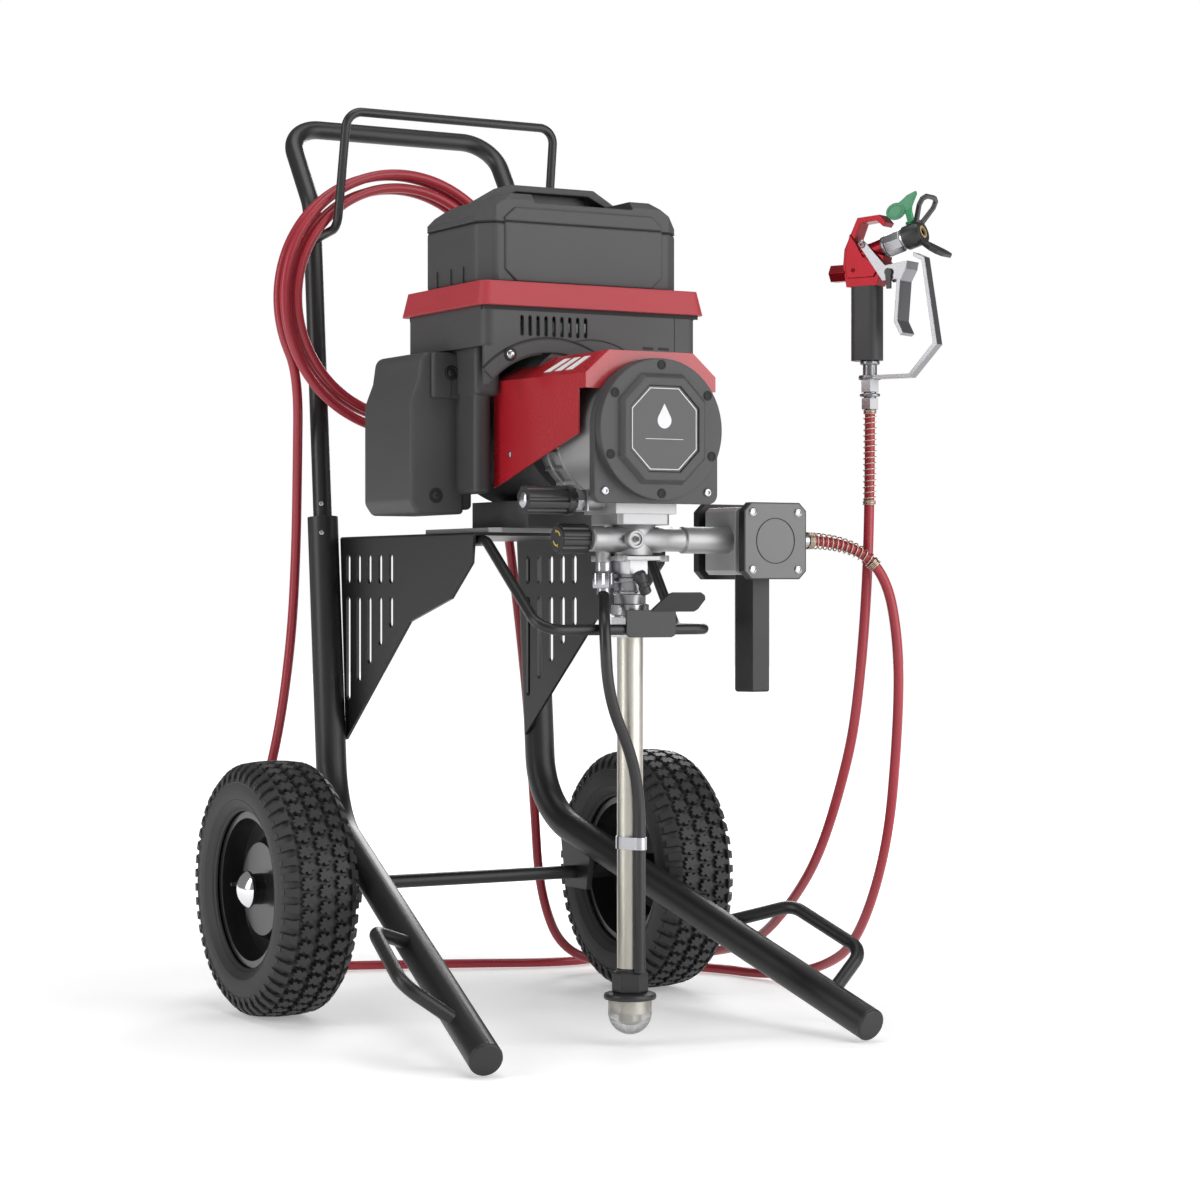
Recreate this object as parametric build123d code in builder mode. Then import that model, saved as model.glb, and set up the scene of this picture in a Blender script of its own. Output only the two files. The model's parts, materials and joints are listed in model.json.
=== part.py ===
from build123d import *
import os
from math import atan2, cos, degrees, radians, sin, sqrt

os.makedirs("parts", exist_ok=True)

# Airless paint sprayer on a two-wheel cart, millimetres.
# Origin on the floor under the middle of the axle, +Z up, pump and feet towards -Y,
# +X to the right as seen from the pump side.

# ---------------------------------------------------------------- driving dimensions
wheel_r = 165.0            # 13 inch pneumatic wheel
wheel_x = 277.6            # middle plane of each wheel
axle_r = 9.0
tube_r = 20.5              # lower frame tubes
tube_bore = 18.5
tube_x = 159.0
knee = (80.0, 247.0)       # Y, Z where the leg and the upright would meet
upright_top = (113.0, 640.0)
foot = (262.9, -563.8, 22.0)
handle_r = 12.5
handle_bore = 10.5
handle_top = (233.0, 1190.0)
sheet = 4.0                # cradle sheet
pump_y = -437.0            # pump axis
gear_z = 742.0             # crank axis height
pinion_r = 10.0
gear_r = 50.0
motor_z = gear_z + pinion_r + gear_r
throw = 15.0               # crank throw
port_z = 612.6             # height of the high pressure line
filter_x = 175.0
hose_r = 6.5
gun_origin = (353.0, -436.0)
gun_forward = (0.43, -0.90)
fit = 0.06                 # radial running fit
gap = 0.3                  # free gap between curved faces


def save(builder, name):
    builder.part.label = name
    export_step(builder.part, f"parts/{name}.step")


def along(line, at=0):
    return Plane(origin=line @ at, z_dir=line % at)


def swept(points, radius, outer, bore=0.0):
    """Round tube or rod along straight runs joined by arcs."""
    with BuildPart() as tube:
        with BuildLine() as path:
            FilletPolyline(*points, radius=radius)
        with BuildSketch(along(path.line)):
            Circle(outer)
            if bore:
                Circle(bore, mode=Mode.SUBTRACT)
        sweep()
    return tube


def bend_radii(route):
    """Largest smooth bend at each corner: 0.45 of the shorter run on either side."""
    radii = []
    for before, corner, after in zip(route, route[1:], route[2:]):
        into = Vector(*corner) - Vector(*before)
        out = Vector(*after) - Vector(*corner)
        half_turn = radians(into.get_angle(out)) / 2
        short = min(into.length, out.length)
        radii.append(0.45 * short * cos(half_turn) / sin(half_turn))
    return radii


def rod_between(start, end, outer, bore=0.0):
    """Straight round bar or tube from one point to another."""
    axis = Vector(*end) - Vector(*start)
    with BuildPart() as bar:
        with BuildSketch(Plane(origin=start, z_dir=axis)):
            Circle(outer)
            if bore:
                Circle(bore, mode=Mode.SUBTRACT)
        extrude(amount=axis.length)
    return bar


# ---------------------------------------------------------------- lower frame
def upright_y(z):
    slope = (upright_top[0] - knee[0]) / (upright_top[1] - knee[1])
    return knee[0] + (z - knee[1]) * slope


leg_bend = 110.0
frame_route = [
    (-tube_x, upright_top[0], upright_top[1]),
    (-tube_x, knee[0], knee[1]),
    (-foot[0], foot[1], foot[2]),
]
bent_tube = swept(frame_route, leg_bend, tube_r, tube_bore)
upright_dir = Vector(0, upright_top[0] - knee[0], upright_top[1] - knee[1]).normalized()
sleeve_depth = 48.0
sleeve_head = 9.0
with BuildPart() as frame_tube_left:
    add(bent_tube.part)
    seat = Plane(origin=(-tube_x, upright_top[0], upright_top[1]), z_dir=upright_dir)
    with BuildSketch(seat):
        Circle(tube_r)
        Circle(handle_r, mode=Mode.SUBTRACT)
    extrude(amount=sleeve_head)
    with BuildSketch(seat):
        Circle(tube_bore)
        Circle(handle_r, mode=Mode.SUBTRACT)
    extrude(amount=-sleeve_depth)
save(frame_tube_left, "frame_tube_left")

with BuildPart() as frame_tube_right:
    mirror(frame_tube_left.part, about=Plane.YZ)
save(frame_tube_right, "frame_tube_right")

leg_dir = Vector(foot[0] - tube_x, foot[1] - knee[0], foot[2] - knee[1]).normalized()


def leg_point(share, side=1):
    x = tube_x + share * (foot[0] - tube_x)
    y = knee[0] + share * (foot[1] - knee[0])
    z = knee[1] + share * (foot[2] - knee[1])
    return (side * x, y, z)


cap_length = 5.0
plug_length = 18.0


def foot_cap(side):
    end = leg_point(1.0, side)
    out = Vector(side * leg_dir.X, leg_dir.Y, leg_dir.Z)
    with BuildPart() as cap:
        with BuildSketch(Plane(origin=end, z_dir=out)):
            Circle(tube_r)
        extrude(amount=cap_length)
        fillet(faces().sort_by(Axis(end, tuple(out)))[-1].edges(), radius=3.0)
        with BuildSketch(Plane(origin=end, z_dir=out * -1)):
            Circle(tube_bore)
        extrude(amount=plug_length)
    return cap


caps = [foot_cap(side) for side in (-1, 1)]
with BuildPart() as foot_caps:
    for cap in caps:
        add(cap.part)
save(foot_caps, "foot_caps")

# Bent foot bars on the outside of both legs.
loop_r = 8.5
loop_bend = 30.0
loop_start = 0.57
loop_end = 0.89
loop_corners = ((297.0, -343.0, 144.0), (320.0, -468.0, 98.0))


def foot_loop(side):
    start = leg_point(loop_start, side)
    end = leg_point(loop_end, side)
    corners = [(side * x, y, z) for x, y, z in loop_corners]
    bar = swept([start, corners[0], corners[1], end], loop_bend, loop_r)
    leg = rod_between(leg_point(0.3, side), leg_point(0.98, side), tube_r)
    with BuildPart() as trimmed:
        add(bar.part)
        add(leg.part, mode=Mode.SUBTRACT)
    return trimmed


loops = [foot_loop(side) for side in (-1, 1)]
with BuildPart() as foot_loops:
    for loop in loops:
        add(loop.part)
save(foot_loops, "foot_loops")

# Cradle: bent sheet that carries the power unit between the uprights.
side_x = tube_x - tube_r
cradle_top = 622.0
cradle_back = 102.0
cradle_front = -292.0
slot_w = 13.0
slot_first = 76.0
slot_pitch = 33.0
slot_rows = (598.0, 559.0, 542.0)
slot_low = 404.0
slot_rise = 24.5

with BuildPart() as cradle:
    with BuildSketch(Plane.YZ.offset(side_x - sheet)):
        with BuildLine():
            Polyline(
                (cradle_back, cradle_top),
                (cradle_front, cradle_top),
                (-287.0, 584.0),
                (-230.0, 540.0),
                (-112.0, 510.0),
                (84.7, 350.0),
                close=True,
            )
        make_face()
        for i in range(5):
            y = slot_first - i * slot_pitch
            upper = slot_rows[0] - slot_rows[1]
            with Locations((y, (slot_rows[0] + slot_rows[1]) / 2)):
                SlotOverall(upper, slot_w, rotation=90, mode=Mode.SUBTRACT)
            low = slot_low + i * slot_rise
            with Locations((y, (slot_rows[2] + low) / 2)):
                SlotOverall(slot_rows[2] - low, slot_w, rotation=90, mode=Mode.SUBTRACT)
    extrude(amount=sheet)
    mirror(about=Plane.YZ)
    with Locations((0, (cradle_front + cradle_back) / 2, cradle_top - sheet / 2)):
        Box(2 * side_x, cradle_back - cradle_front, sheet)
    fillet(edges().filter_by(Axis.Y).group_by(Axis.Z)[-1], radius=3.4)
save(cradle, "cradle")



def wheel_axis():
    return Axis((0, 0, wheel_r), (1, 0, 0))


# Axle with its two hanging brackets and the press-on hub caps.
rim_half = 36.0
hub_in = 31.0
axle_end = wheel_x + rim_half + 1.0
with BuildPart() as axle:
    with BuildSketch(Plane.YZ.offset(-axle_end)):
        with Locations((0, wheel_r)):
            Circle(axle_r)
    extrude(amount=2 * axle_end)
    for side in (-1, 1):
        with Locations((side * (wheel_x - hub_in - 4.0 - gap), 0, wheel_r)):
            Cylinder(15.0, 8.0, rotation=(0, 90, 0))

bracket_w = 58.0
with BuildPart() as axle_brackets:
    for side in (-1, 1):
        with BuildSketch(Plane.YZ.offset(side * 172.0 - 4.0)):
            with BuildLine():
                Polyline(
                    (-bracket_w / 2, wheel_r - 22.0),
                    (bracket_w / 2, wheel_r - 22.0),
                    (bracket_w / 2 + 16.0, 224.0),
                    (-bracket_w / 2 - 16.0, 214.0),
                    close=True,
                )
            make_face()
        extrude(amount=8.0)
    with Locations((0, 0, wheel_r)):
        Cylinder(axle_r, 2 * axle_end, rotation=(0, 90, 0), mode=Mode.SUBTRACT)
    for side in (-1, 1):
        leg = rod_between(leg_point(0.02, side), leg_point(0.4, side), tube_r)
        add(leg.part, mode=Mode.SUBTRACT)
        for cut in (-1, 1):
            with Locations((side * 172.0, cut * 60.0, 235.0)):
                Box(60.0, 60.0, 10.0, mode=Mode.SUBTRACT)

with BuildPart() as axle_weldment:
    add(axle.part)
    add(axle_brackets.part)
save(axle_weldment, "axle")

cap_r = 24.0
with BuildPart() as hub_caps:
    for side in (-1, 1):
        low = side * (wheel_x + rim_half + gap)
        with BuildSketch(Plane.XZ):
            with BuildLine():
                Polyline(
                    (low, wheel_r),
                    (low, wheel_r + cap_r),
                    (low + side * 5.0, wheel_r + cap_r),
                    (low + side * 11.0, wheel_r + 0.75 * cap_r),
                    (low + side * 14.0, wheel_r + 0.4 * cap_r),
                    (low + side * 15.0, wheel_r),
                    close=True,
                )
            make_face()
        revolve(axis=wheel_axis())
    with Locations((0, 0, wheel_r)):
        Cylinder(axle_r, 2 * axle_end, rotation=(0, 90, 0), mode=Mode.SUBTRACT)
save(hub_caps, "hub_caps")


# ---------------------------------------------------------------- wheels
bead_r = 95.7
flange_r = 101.0
bead_x = 32.0
tyre_half = 52.0


def tyre(centre):
    with BuildPart() as part:
        with BuildSketch(Plane.XZ):
            with BuildLine():
                Polyline(
                    (centre - bead_x, wheel_r + bead_r),
                    (centre - bead_x, wheel_r + 103.0),
                    (centre - 44.0, wheel_r + 112.0),
                    (centre - tyre_half, wheel_r + 132.0),
                    (centre - tyre_half + 1.0, wheel_r + 148.0),
                    (centre - 41.0, wheel_r + 160.0),
                    (centre, wheel_r + wheel_r),
                    (centre + 41.0, wheel_r + 160.0),
                    (centre + tyre_half - 1.0, wheel_r + 148.0),
                    (centre + tyre_half, wheel_r + 132.0),
                    (centre + 44.0, wheel_r + 112.0),
                    (centre + bead_x, wheel_r + 103.0),
                    (centre + bead_x, wheel_r + bead_r),
                    (centre + bead_x - 10.0, wheel_r + bead_r),
                    (centre + 40.0, wheel_r + 130.0),
                    (centre + 34.0, wheel_r + 150.0),
                    (centre - 34.0, wheel_r + 150.0),
                    (centre - 40.0, wheel_r + 130.0),
                    (centre - bead_x + 10.0, wheel_r + bead_r),
                    close=True,
                )
            make_face()
        revolve(axis=wheel_axis())
    return part


def rim(centre, side):
    with BuildPart() as part:
        with BuildSketch(Plane.XZ):
            with Locations((centre, wheel_r + bead_r - 2.0)):
                Rectangle(2 * rim_half, 4.0)
            for end in (-1, 1):
                with Locations((centre + end * (rim_half - 2.0), wheel_r + (bead_r + flange_r) / 2 - 1.0)):
                    Rectangle(4.0, flange_r - bead_r + 2.0)
            with BuildLine():
                Polyline(
                    (centre + side * 2.0, wheel_r + 92.0),
                    (centre + side * 2.0, wheel_r + 66.0),
                    (centre + side * 16.0, wheel_r + 58.0),
                    (centre + side * 16.0, wheel_r + 18.0),
                    (centre + side * 20.0, wheel_r + 18.0),
                    (centre + side * 20.0, wheel_r + 60.0),
                    (centre + side * 6.0, wheel_r + 68.0),
                    (centre + side * 6.0, wheel_r + 92.0),
                    close=True,
                )
            make_face()
            hub_low = centre - side * hub_in
            hub_high = centre + side * rim_half
            with Locations(((hub_low + hub_high) / 2, wheel_r + (axle_r + fit + 20.0) / 2)):
                Rectangle(abs(hub_high - hub_low), 20.0 - axle_r - fit)
        revolve(axis=wheel_axis())
    return part


for name, side in (("left", -1), ("right", 1)):
    save(tyre(side * wheel_x), f"tyre_{name}")
    save(rim(side * wheel_x, side), f"rim_{name}")

# ---------------------------------------------------------------- handle
handle_low = 590.0
kink_z = 1072.0
handle_route = [
    (-tube_x, upright_y(handle_low), handle_low),
    (-tube_x, upright_y(kink_z), kink_z),
    (-tube_x, handle_top[0], handle_top[1]),
    (tube_x, handle_top[0], handle_top[1]),
    (tube_x, upright_y(kink_z), kink_z),
    (tube_x, upright_y(handle_low), handle_low),
]
handle_tube = swept(handle_route, 48.0, handle_r, handle_bore)
save(handle_tube, "handle_tube")


# Rod in front of the handle: bumper and hose rack.
rack_r = 6.0
rack_z = 1026.0
rack_start = upright_y(rack_z) - handle_r + 1.4
rack_route = [
    (-tube_x, rack_start, rack_z),
    (-tube_x, 66.0, 1034.0),
    (-156.0, 41.0, 1186.0),
    (156.0, 41.0, 1186.0),
    (tube_x, 66.0, 1034.0),
    (tube_x, rack_start, rack_z),
]
rack_rod = swept(rack_route, 22.0, rack_r)
with BuildPart() as hose_rack:
    add(rack_rod.part)
    add(handle_tube.part, mode=Mode.SUBTRACT)
save(hose_rack, "hose_rack")

# ---------------------------------------------------------------- power unit
deck_x = 160.0
deck_front = -354.0
deck_back = -125.0
deck_low = 897.0
deck_high = 927.0
unit_wall = 4.0
body_r = 100.0
body_z = 760.0
body_front = -345.0
body_back = -135.0

with BuildPart() as motor_base:
    with Locations((0, -205.0, cradle_top + 3.0)):
        Box(236.0, 200.0, 6.0)
    chamfer(edges().filter_by(Axis.Z), length=12.0)
save(motor_base, "motor_base")

stator_r = 50.0
with BuildPart() as motor_housing:
    with BuildSketch(Plane.XZ.offset(-body_back)):
        with Locations((0, body_z)):
            Circle(body_r)
    extrude(amount=body_back - body_front)
    with Locations((0, (body_front + body_back) / 2, cradle_top + 6.0 + 17.0)):
        Box(150.0, 150.0, 34.0)
    with BuildSketch(Plane.XZ.offset(-body_back + 5.0)):
        with Locations((0, body_z)):
            Circle(body_r - 5.0)
    extrude(amount=body_back - body_front - 10.0, mode=Mode.SUBTRACT)
    # Seat for the stator, held by the back wall.
    with BuildSketch(Plane.XZ.offset(-body_back + 5.0)):
        with Locations((0, motor_z)):
            Circle(stator_r + 5.0)
            Circle(stator_r, mode=Mode.SUBTRACT)
    extrude(amount=170.0)
    with Locations((0, body_front, motor_z)):
        Cylinder(24.0, 14.0, rotation=(90, 0, 0), mode=Mode.SUBTRACT)
save(motor_housing, "motor_housing")

with BuildPart() as motor_stator:
    with BuildSketch(Plane.XZ.offset(220.0)):
        with Locations((0, motor_z)):
            Circle(stator_r)
            Circle(31.0, mode=Mode.SUBTRACT)
            with PolarLocations(36.0, 12):
                Rectangle(11.0, 5.0, mode=Mode.SUBTRACT)
    extrude(amount=70.0)
save(motor_stator, "motor_stator")

with BuildPart() as motor_rotor:
    with Locations((0, -255.0, motor_z)):
        Cylinder(30.4, 68.0, rotation=(90, 0, 0))
    with BuildSketch(Plane.XZ.offset(175.0)):
        with Locations((0, motor_z)):
            Circle(5.0)
    extrude(amount=425.0 - 175.0)
    with BuildSketch(Plane.XZ.offset(190.0)):
        with Locations((0, motor_z)):
            Circle(16.0)
            with PolarLocations(28.0, 9):
                Rectangle(28.0, 3.0)
    extrude(amount=14.0)
    with BuildSketch(Plane.XZ.offset(409.0)):
        with Locations((0, motor_z)):
            Circle(pinion_r - 0.15)
            with PolarLocations(pinion_r, 10):
                Circle(1.4, mode=Mode.SUBTRACT)
    extrude(amount=13.0)
save(motor_rotor, "motor_rotor")

housing_front = (deck_front + deck_back) / 2 + 2.0 - (deck_back - deck_front - 12.0) / 2
with BuildPart() as upper_housing:
    with BuildSketch(Plane.XY.offset(848.0)):
        with Locations((0, (deck_front + deck_back) / 2 + 2.0)):
            RectangleRounded(2 * deck_x - 18.0, deck_back - deck_front - 12.0, 14.0)
    extrude(amount=deck_low - 848.0)
    with BuildSketch(Plane.XY.offset(848.0)):
        with Locations((0, (deck_front + deck_back) / 2 + 2.0)):
            RectangleRounded(2 * deck_x - 26.0, deck_back - deck_front - 20.0, 10.0)
    extrude(amount=deck_low - 848.0 - 3.0, mode=Mode.SUBTRACT)
    with BuildSketch(Plane.XZ.offset(-deck_back - 20.0)):
        with Locations((0, body_z)):
            Circle(body_r)
    extrude(amount=deck_back - deck_front + 40.0, mode=Mode.SUBTRACT)
    # Skirt of the front wall that arches over the motor.
    with BuildSketch(Plane.XZ.offset(-housing_front - 4.0)):
        with Locations((-112.0, 824.0)):
            Rectangle(80.0, 48.0)
        with Locations((-59.0, 728.0)):
            Circle(112.0, mode=Mode.SUBTRACT)
        with Locations((0, body_z)):
            Circle(body_r, mode=Mode.SUBTRACT)
    extrude(amount=4.0)
    # Row of vent slots in the front wall.
    with BuildSketch(Plane.XZ.offset(-deck_front - 30.0)):
        with Locations((-55.0, 874.0)):
            with GridLocations(11.1, 1, 9, 1):
                SlotOverall(25.0, 4.6, rotation=90)
    extrude(amount=40.0, mode=Mode.SUBTRACT)
    with Locations((100.0, deck_back - 5.0, 872.0)):
        Box(27.0, 16.0, 22.0, mode=Mode.SUBTRACT)
save(upper_housing, "upper_housing")

with BuildPart() as deck_cover:
    with BuildSketch(Plane.XY.offset(deck_low)):
        with Locations((0, (deck_front + deck_back) / 2)):
            RectangleRounded(2 * deck_x, deck_back - deck_front, 14.0)
    with BuildSketch(Plane.XY.offset(deck_high)):
        with Locations((0, (deck_front + deck_back) / 2)):
            RectangleRounded(2 * deck_x - 12.0, deck_back - deck_front - 12.0, 12.0)
    loft()
    with BuildSketch(Plane.XY.offset(deck_low)):
        with Locations((0, (deck_front + deck_back) / 2)):
            RectangleRounded(2 * deck_x - 24.0, deck_back - deck_front - 24.0, 8.0)
    extrude(amount=deck_high - deck_low - 8.0, mode=Mode.SUBTRACT)
save(deck_cover, "deck_cover")

with BuildPart() as controller_board:
    with Locations((0, -240.0, 885.0)):
        Box(180.0, 120.0, 2.0)
    with GridLocations(50.0, 60.0, 3, 2):
        with Locations((0, -240.0, 889.0)):
            Cylinder(7.0, 6.0)
    with Locations((0, -240.0, 889.0)):
        Box(40.0, 30.0, 6.0)
save(controller_board, "controller_board")

# Side box of the power unit, hollow, with two screw recesses.
box_low = 645.0
box_high = 846.0
with BuildPart() as side_box:
    with BuildSketch(Plane.XY.offset(box_low)):
        with Locations((-158.0, -180.0)):
            RectangleRounded(90.0, 136.0, 12.0)
    extrude(amount=box_high - box_low)
    with BuildSketch(Plane.XY.offset(box_low + unit_wall)):
        with Locations((-158.0, -180.0)):
            RectangleRounded(82.0, 128.0, 8.0)
    extrude(amount=box_high - box_low - 2 * unit_wall, mode=Mode.SUBTRACT)
    with BuildSketch(Plane.XZ.offset(100.0)):
        with Locations((0, body_z)):
            Circle(body_r)
    extrude(amount=180.0, mode=Mode.SUBTRACT)
    with Locations((-150.0, -244.0, 820.0), (-168.0, -244.0, 668.0)):
        Cylinder(7.0, 12.0, rotation=(90, 0, 0), mode=Mode.SUBTRACT)
save(side_box, "side_box")

# Red sheet shroud over the gear housing, wider at the back where it meets the motor body.
shroud_front = -488.0
shroud_back = -288.0
shroud_sheet = 2.0
plate_r = 85.0


def shroud_face(y, half, inset):
    with BuildSketch(Plane.XZ.offset(-y)) as face:
        with BuildLine():
            Polyline(
                (-half + inset, 640.0),
                (-half + inset, 808.0 - inset / 2),
                (-58.0 + inset / 2, 847.0 - inset),
                (58.0 - inset / 2, 847.0 - inset),
                (half - inset, 808.0 - inset / 2),
                (half - inset, 640.0),
                close=True,
            )
        make_face()
    return face


outer_back = shroud_face(shroud_back, 108.0, 0.0)
outer_front = shroud_face(shroud_front, 90.0, 0.0)
inner_back = shroud_face(shroud_back + 0.5, 108.0, shroud_sheet)
inner_front = shroud_face(shroud_front + shroud_sheet, 90.0, shroud_sheet)
with BuildPart() as shroud:
    loft(sections=[outer_back.sketch, outer_front.sketch])
    loft(sections=[inner_back.sketch, inner_front.sketch], mode=Mode.SUBTRACT)
    with Locations((0, shroud_front + 1.0, gear_z)):
        Cylinder(plate_r - 3.0, 12.0, rotation=(90, 0, 0), mode=Mode.SUBTRACT)
    # The lower edge slants down to the back; the front face ends above the corner plate.
    with BuildSketch(Plane.YZ.offset(-120.0)):
        with BuildLine():
            Polyline(
                (shroud_front - 5.0, 630.0),
                (shroud_front - 5.0, 790.0),
                (-472.0, 790.0),
                (-472.0, 737.0),
                (shroud_back - 2.0, 677.0),
                (shroud_back + 10.0, 677.0),
                (shroud_back + 10.0, 630.0),
                close=True,
            )
        make_face()
    extrude(amount=240.0, mode=Mode.SUBTRACT)
    # Room for the round motor body behind the gear housing.
    with BuildSketch(Plane.XZ.offset(-body_back)):
        with Locations((0, body_z)):
            Circle(body_r)
    extrude(amount=body_back - body_front, mode=Mode.SUBTRACT)
save(shroud, "shroud")

# ---------------------------------------------------------------- gear case
case_r = 82.0
case_front = -488.0
case_floor = -403.0
neck_low = 642.0
with BuildPart() as gear_housing:
    with BuildSketch(Plane.XZ.offset(-case_floor - 8.0)):
        with Locations((0, gear_z)):
            Circle(case_r)
    extrude(amount=case_floor + 8.0 - case_front)
    with Locations((0, pump_y, (neck_low + 690.0) / 2)):
        Box(84.0, 78.0, 690.0 - neck_low)
    # Round spigot that bolts to the motor body.
    with BuildSketch(Plane.XZ.offset(-body_front)):
        with Locations((0, gear_z)):
            Circle(78.0)
            Circle(72.0, mode=Mode.SUBTRACT)
    extrude(amount=body_front - case_floor - 8.0)
    with BuildSketch(Plane.XZ.offset(-case_floor)):
        with Locations((0, gear_z)):
            Circle(72.0)
    extrude(amount=case_floor - case_front, mode=Mode.SUBTRACT)
    with Locations((0, pump_y, neck_low + 20.0)):
        Cylinder(14.0, 60.0, mode=Mode.SUBTRACT)
    with Locations((0, case_floor + 4.0, motor_z)):
        Cylinder(9.0, 12.0, rotation=(90, 0, 0), mode=Mode.SUBTRACT)
    with Locations((0, case_floor + 4.0, gear_z)):
        Cylinder(17.0, 12.0, rotation=(90, 0, 0), mode=Mode.SUBTRACT)
    # Boss that carries the pressure control.
    with Locations((-61.0, pump_y, 658.0)):
        Cylinder(12.0, 38.0, rotation=(0, 90, 0))
    with Locations((-85.0, pump_y, 658.0)):
        Cylinder(6.0, 12.0, rotation=(0, 90, 0))
save(gear_housing, "gear_housing")

with BuildPart() as gear_bearings:
    with Locations((0, case_floor + 4.0, motor_z)):
        Cylinder(9.0, 8.0, rotation=(90, 0, 0))
        Cylinder(5.0 + fit, 8.0, rotation=(90, 0, 0), mode=Mode.SUBTRACT)
    with Locations((0, case_floor + 4.0, gear_z)):
        Cylinder(17.0, 8.0, rotation=(90, 0, 0))
        Cylinder(8.0 + fit, 8.0, rotation=(90, 0, 0), mode=Mode.SUBTRACT)
save(gear_bearings, "gear_bearings")

gear_front = -421.0
with BuildPart() as crank_gear:
    with BuildSketch(Plane.XZ.offset(409.0)):
        with Locations((0, gear_z)):
            Circle(gear_r - 0.15)
            with PolarLocations(gear_r, 50):
                Circle(1.4, mode=Mode.SUBTRACT)
            with PolarLocations(33.0, 6):
                Circle(8.0, mode=Mode.SUBTRACT)
    extrude(amount=-gear_front - 409.0)
    with BuildSketch(Plane.XZ.offset(-case_floor - 10.0)):
        with Locations((0, gear_z)):
            Circle(8.0)
    extrude(amount=409.0 + case_floor + 10.0)
    # Crank pin, stopped just short of the slider that it drives.
    with BuildSketch(Plane.XZ.offset(-gear_front)):
        with Locations((throw, gear_z)):
            Circle(7.0)
    extrude(amount=8.5)
save(crank_gear, "crank_gear")

rod_r = 11.0
slider_low = 718.0
with BuildPart() as slider:
    with Locations((0, pump_y - 4.0, gear_z)):
        Box(56.0, 22.0, 48.0)
        Box(46.0, 30.0, 15.0, mode=Mode.SUBTRACT)
    chamfer(edges().filter_by(Axis.Y), length=2.0)
    with Locations((0, pump_y - 5.0, slider_low - 12.0)):
        Box(30.0, 20.0, 26.0)
    with Locations((0, pump_y, (700.0 + 566.0) / 2)):
        Cylinder(rod_r, 700.0 - 566.0)
    # Piston at the lower end of the rod.
    with Locations((0, pump_y, 556.0)):
        Cylinder(16.0, 20.0)
save(slider, "slider")

frame_half = (60.0, 66.0)
frame_cut = 31.0
field_half = (47.5, 51.5)
field_cut = 26.0
with BuildPart() as gear_cover:
    with BuildSketch(Plane.XZ.offset(-case_front)):
        with Locations((0, gear_z)):
            Circle(plate_r)
        with Locations((0, (654.0 + gear_z) / 2)):
            RectangleRounded(2 * plate_r, gear_z - 654.0, 12.0)
        with Locations((0, 715.0)):
            Rectangle(2 * plate_r, 54.0)
    extrude(amount=12.0)
    with BuildSketch(Plane.XZ.offset(-case_front + 12.0)):
        with Locations((0, gear_z)):
            Circle(plate_r - 1.0)
    extrude(amount=12.0)
    # Raised eight-sided frame round the flat field for the badge.
    with BuildSketch(Plane.XZ.offset(-case_front + 24.0)):
        with Locations((0, gear_z)):
            Rectangle(2 * frame_half[0], 2 * frame_half[1])
        chamfer(vertices(), length=frame_cut)
    extrude(amount=8.0, taper=35)
    with BuildSketch(Plane.XZ.offset(-case_front)):
        with Locations((0, gear_z)):
            Circle(72.0)
    extrude(amount=20.0, mode=Mode.SUBTRACT)
    with BuildSketch(Plane.XZ.offset(517.0)):
        with Locations((0, gear_z)):
            Rectangle(2 * field_half[0], 2 * field_half[1])
        chamfer(vertices(), length=field_cut)
    extrude(amount=10.0, mode=Mode.SUBTRACT)
save(gear_cover, "gear_cover")

with BuildPart() as cover_screws:
    for around in (-90, -24, 33, 90, 147, 204):
        a = radians(around)
        with Locations((76.5 * cos(a), -514.0, gear_z + 76.5 * sin(a))):
            Cylinder(4.5, 4.0, rotation=(90, 0, 0))
    for side in (-1, 1):
        with Locations((side * 71.0, -501.5, 668.0)):
            Cylinder(5.0, 3.0, rotation=(90, 0, 0))
save(cover_screws, "cover_screws")

# ---------------------------------------------------------------- pump
block_low = 592.0
drain_x = -37.0
stem_r = 4.0
packing_low = 615.0
with BuildPart() as pump_block:
    with Locations((0, pump_y, (block_low + neck_low) / 2)):
        Box(72.0, 74.0, neck_low - block_low)
    fillet(edges().filter_by(Axis.Z), radius=12.0)
    # High pressure line to the filter, and the branch to the prime valve.
    with Locations(((36.0 + 132.0) / 2 - 4.0, pump_y, port_z)):
        Cylinder(13.0, 132.0 - 36.0 + 8.0, rotation=(0, 90, 0))
    with Locations((-46.0, pump_y, port_z)):
        Cylinder(13.0, 24.0, rotation=(0, 90, 0))
    with Locations((-66.0, pump_y, port_z)):
        Cylinder(stem_r, 16.0, rotation=(0, 90, 0))
    with Locations((-60.0, pump_y, port_z)):
        Cylinder(11.0, 4.0, rotation=(0, 90, 0))
    with Locations((drain_x, pump_y, (571.0 + port_z) / 2)):
        Cylinder(10.0, port_z - 571.0)
    with Locations((0, pump_y, (packing_low + neck_low) / 2)):
        Cylinder(16.0, neck_low - packing_low, mode=Mode.SUBTRACT)
    with Locations((0, pump_y, (block_low + packing_low) / 2)):
        Cylinder(13.5, packing_low - block_low, mode=Mode.SUBTRACT)
    with Locations((70.0, pump_y, port_z - 10.0)):
        Cylinder(4.0, 124.0, rotation=(0, 90, 0), mode=Mode.SUBTRACT)
save(pump_block, "pump_block")

with BuildPart() as pump_packings:
    with Locations((0, pump_y, (packing_low + neck_low) / 2)):
        Cylinder(16.0, neck_low - packing_low)
        Cylinder(rod_r + fit, neck_low - packing_low, mode=Mode.SUBTRACT)
save(pump_packings, "pump_packings")

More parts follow.
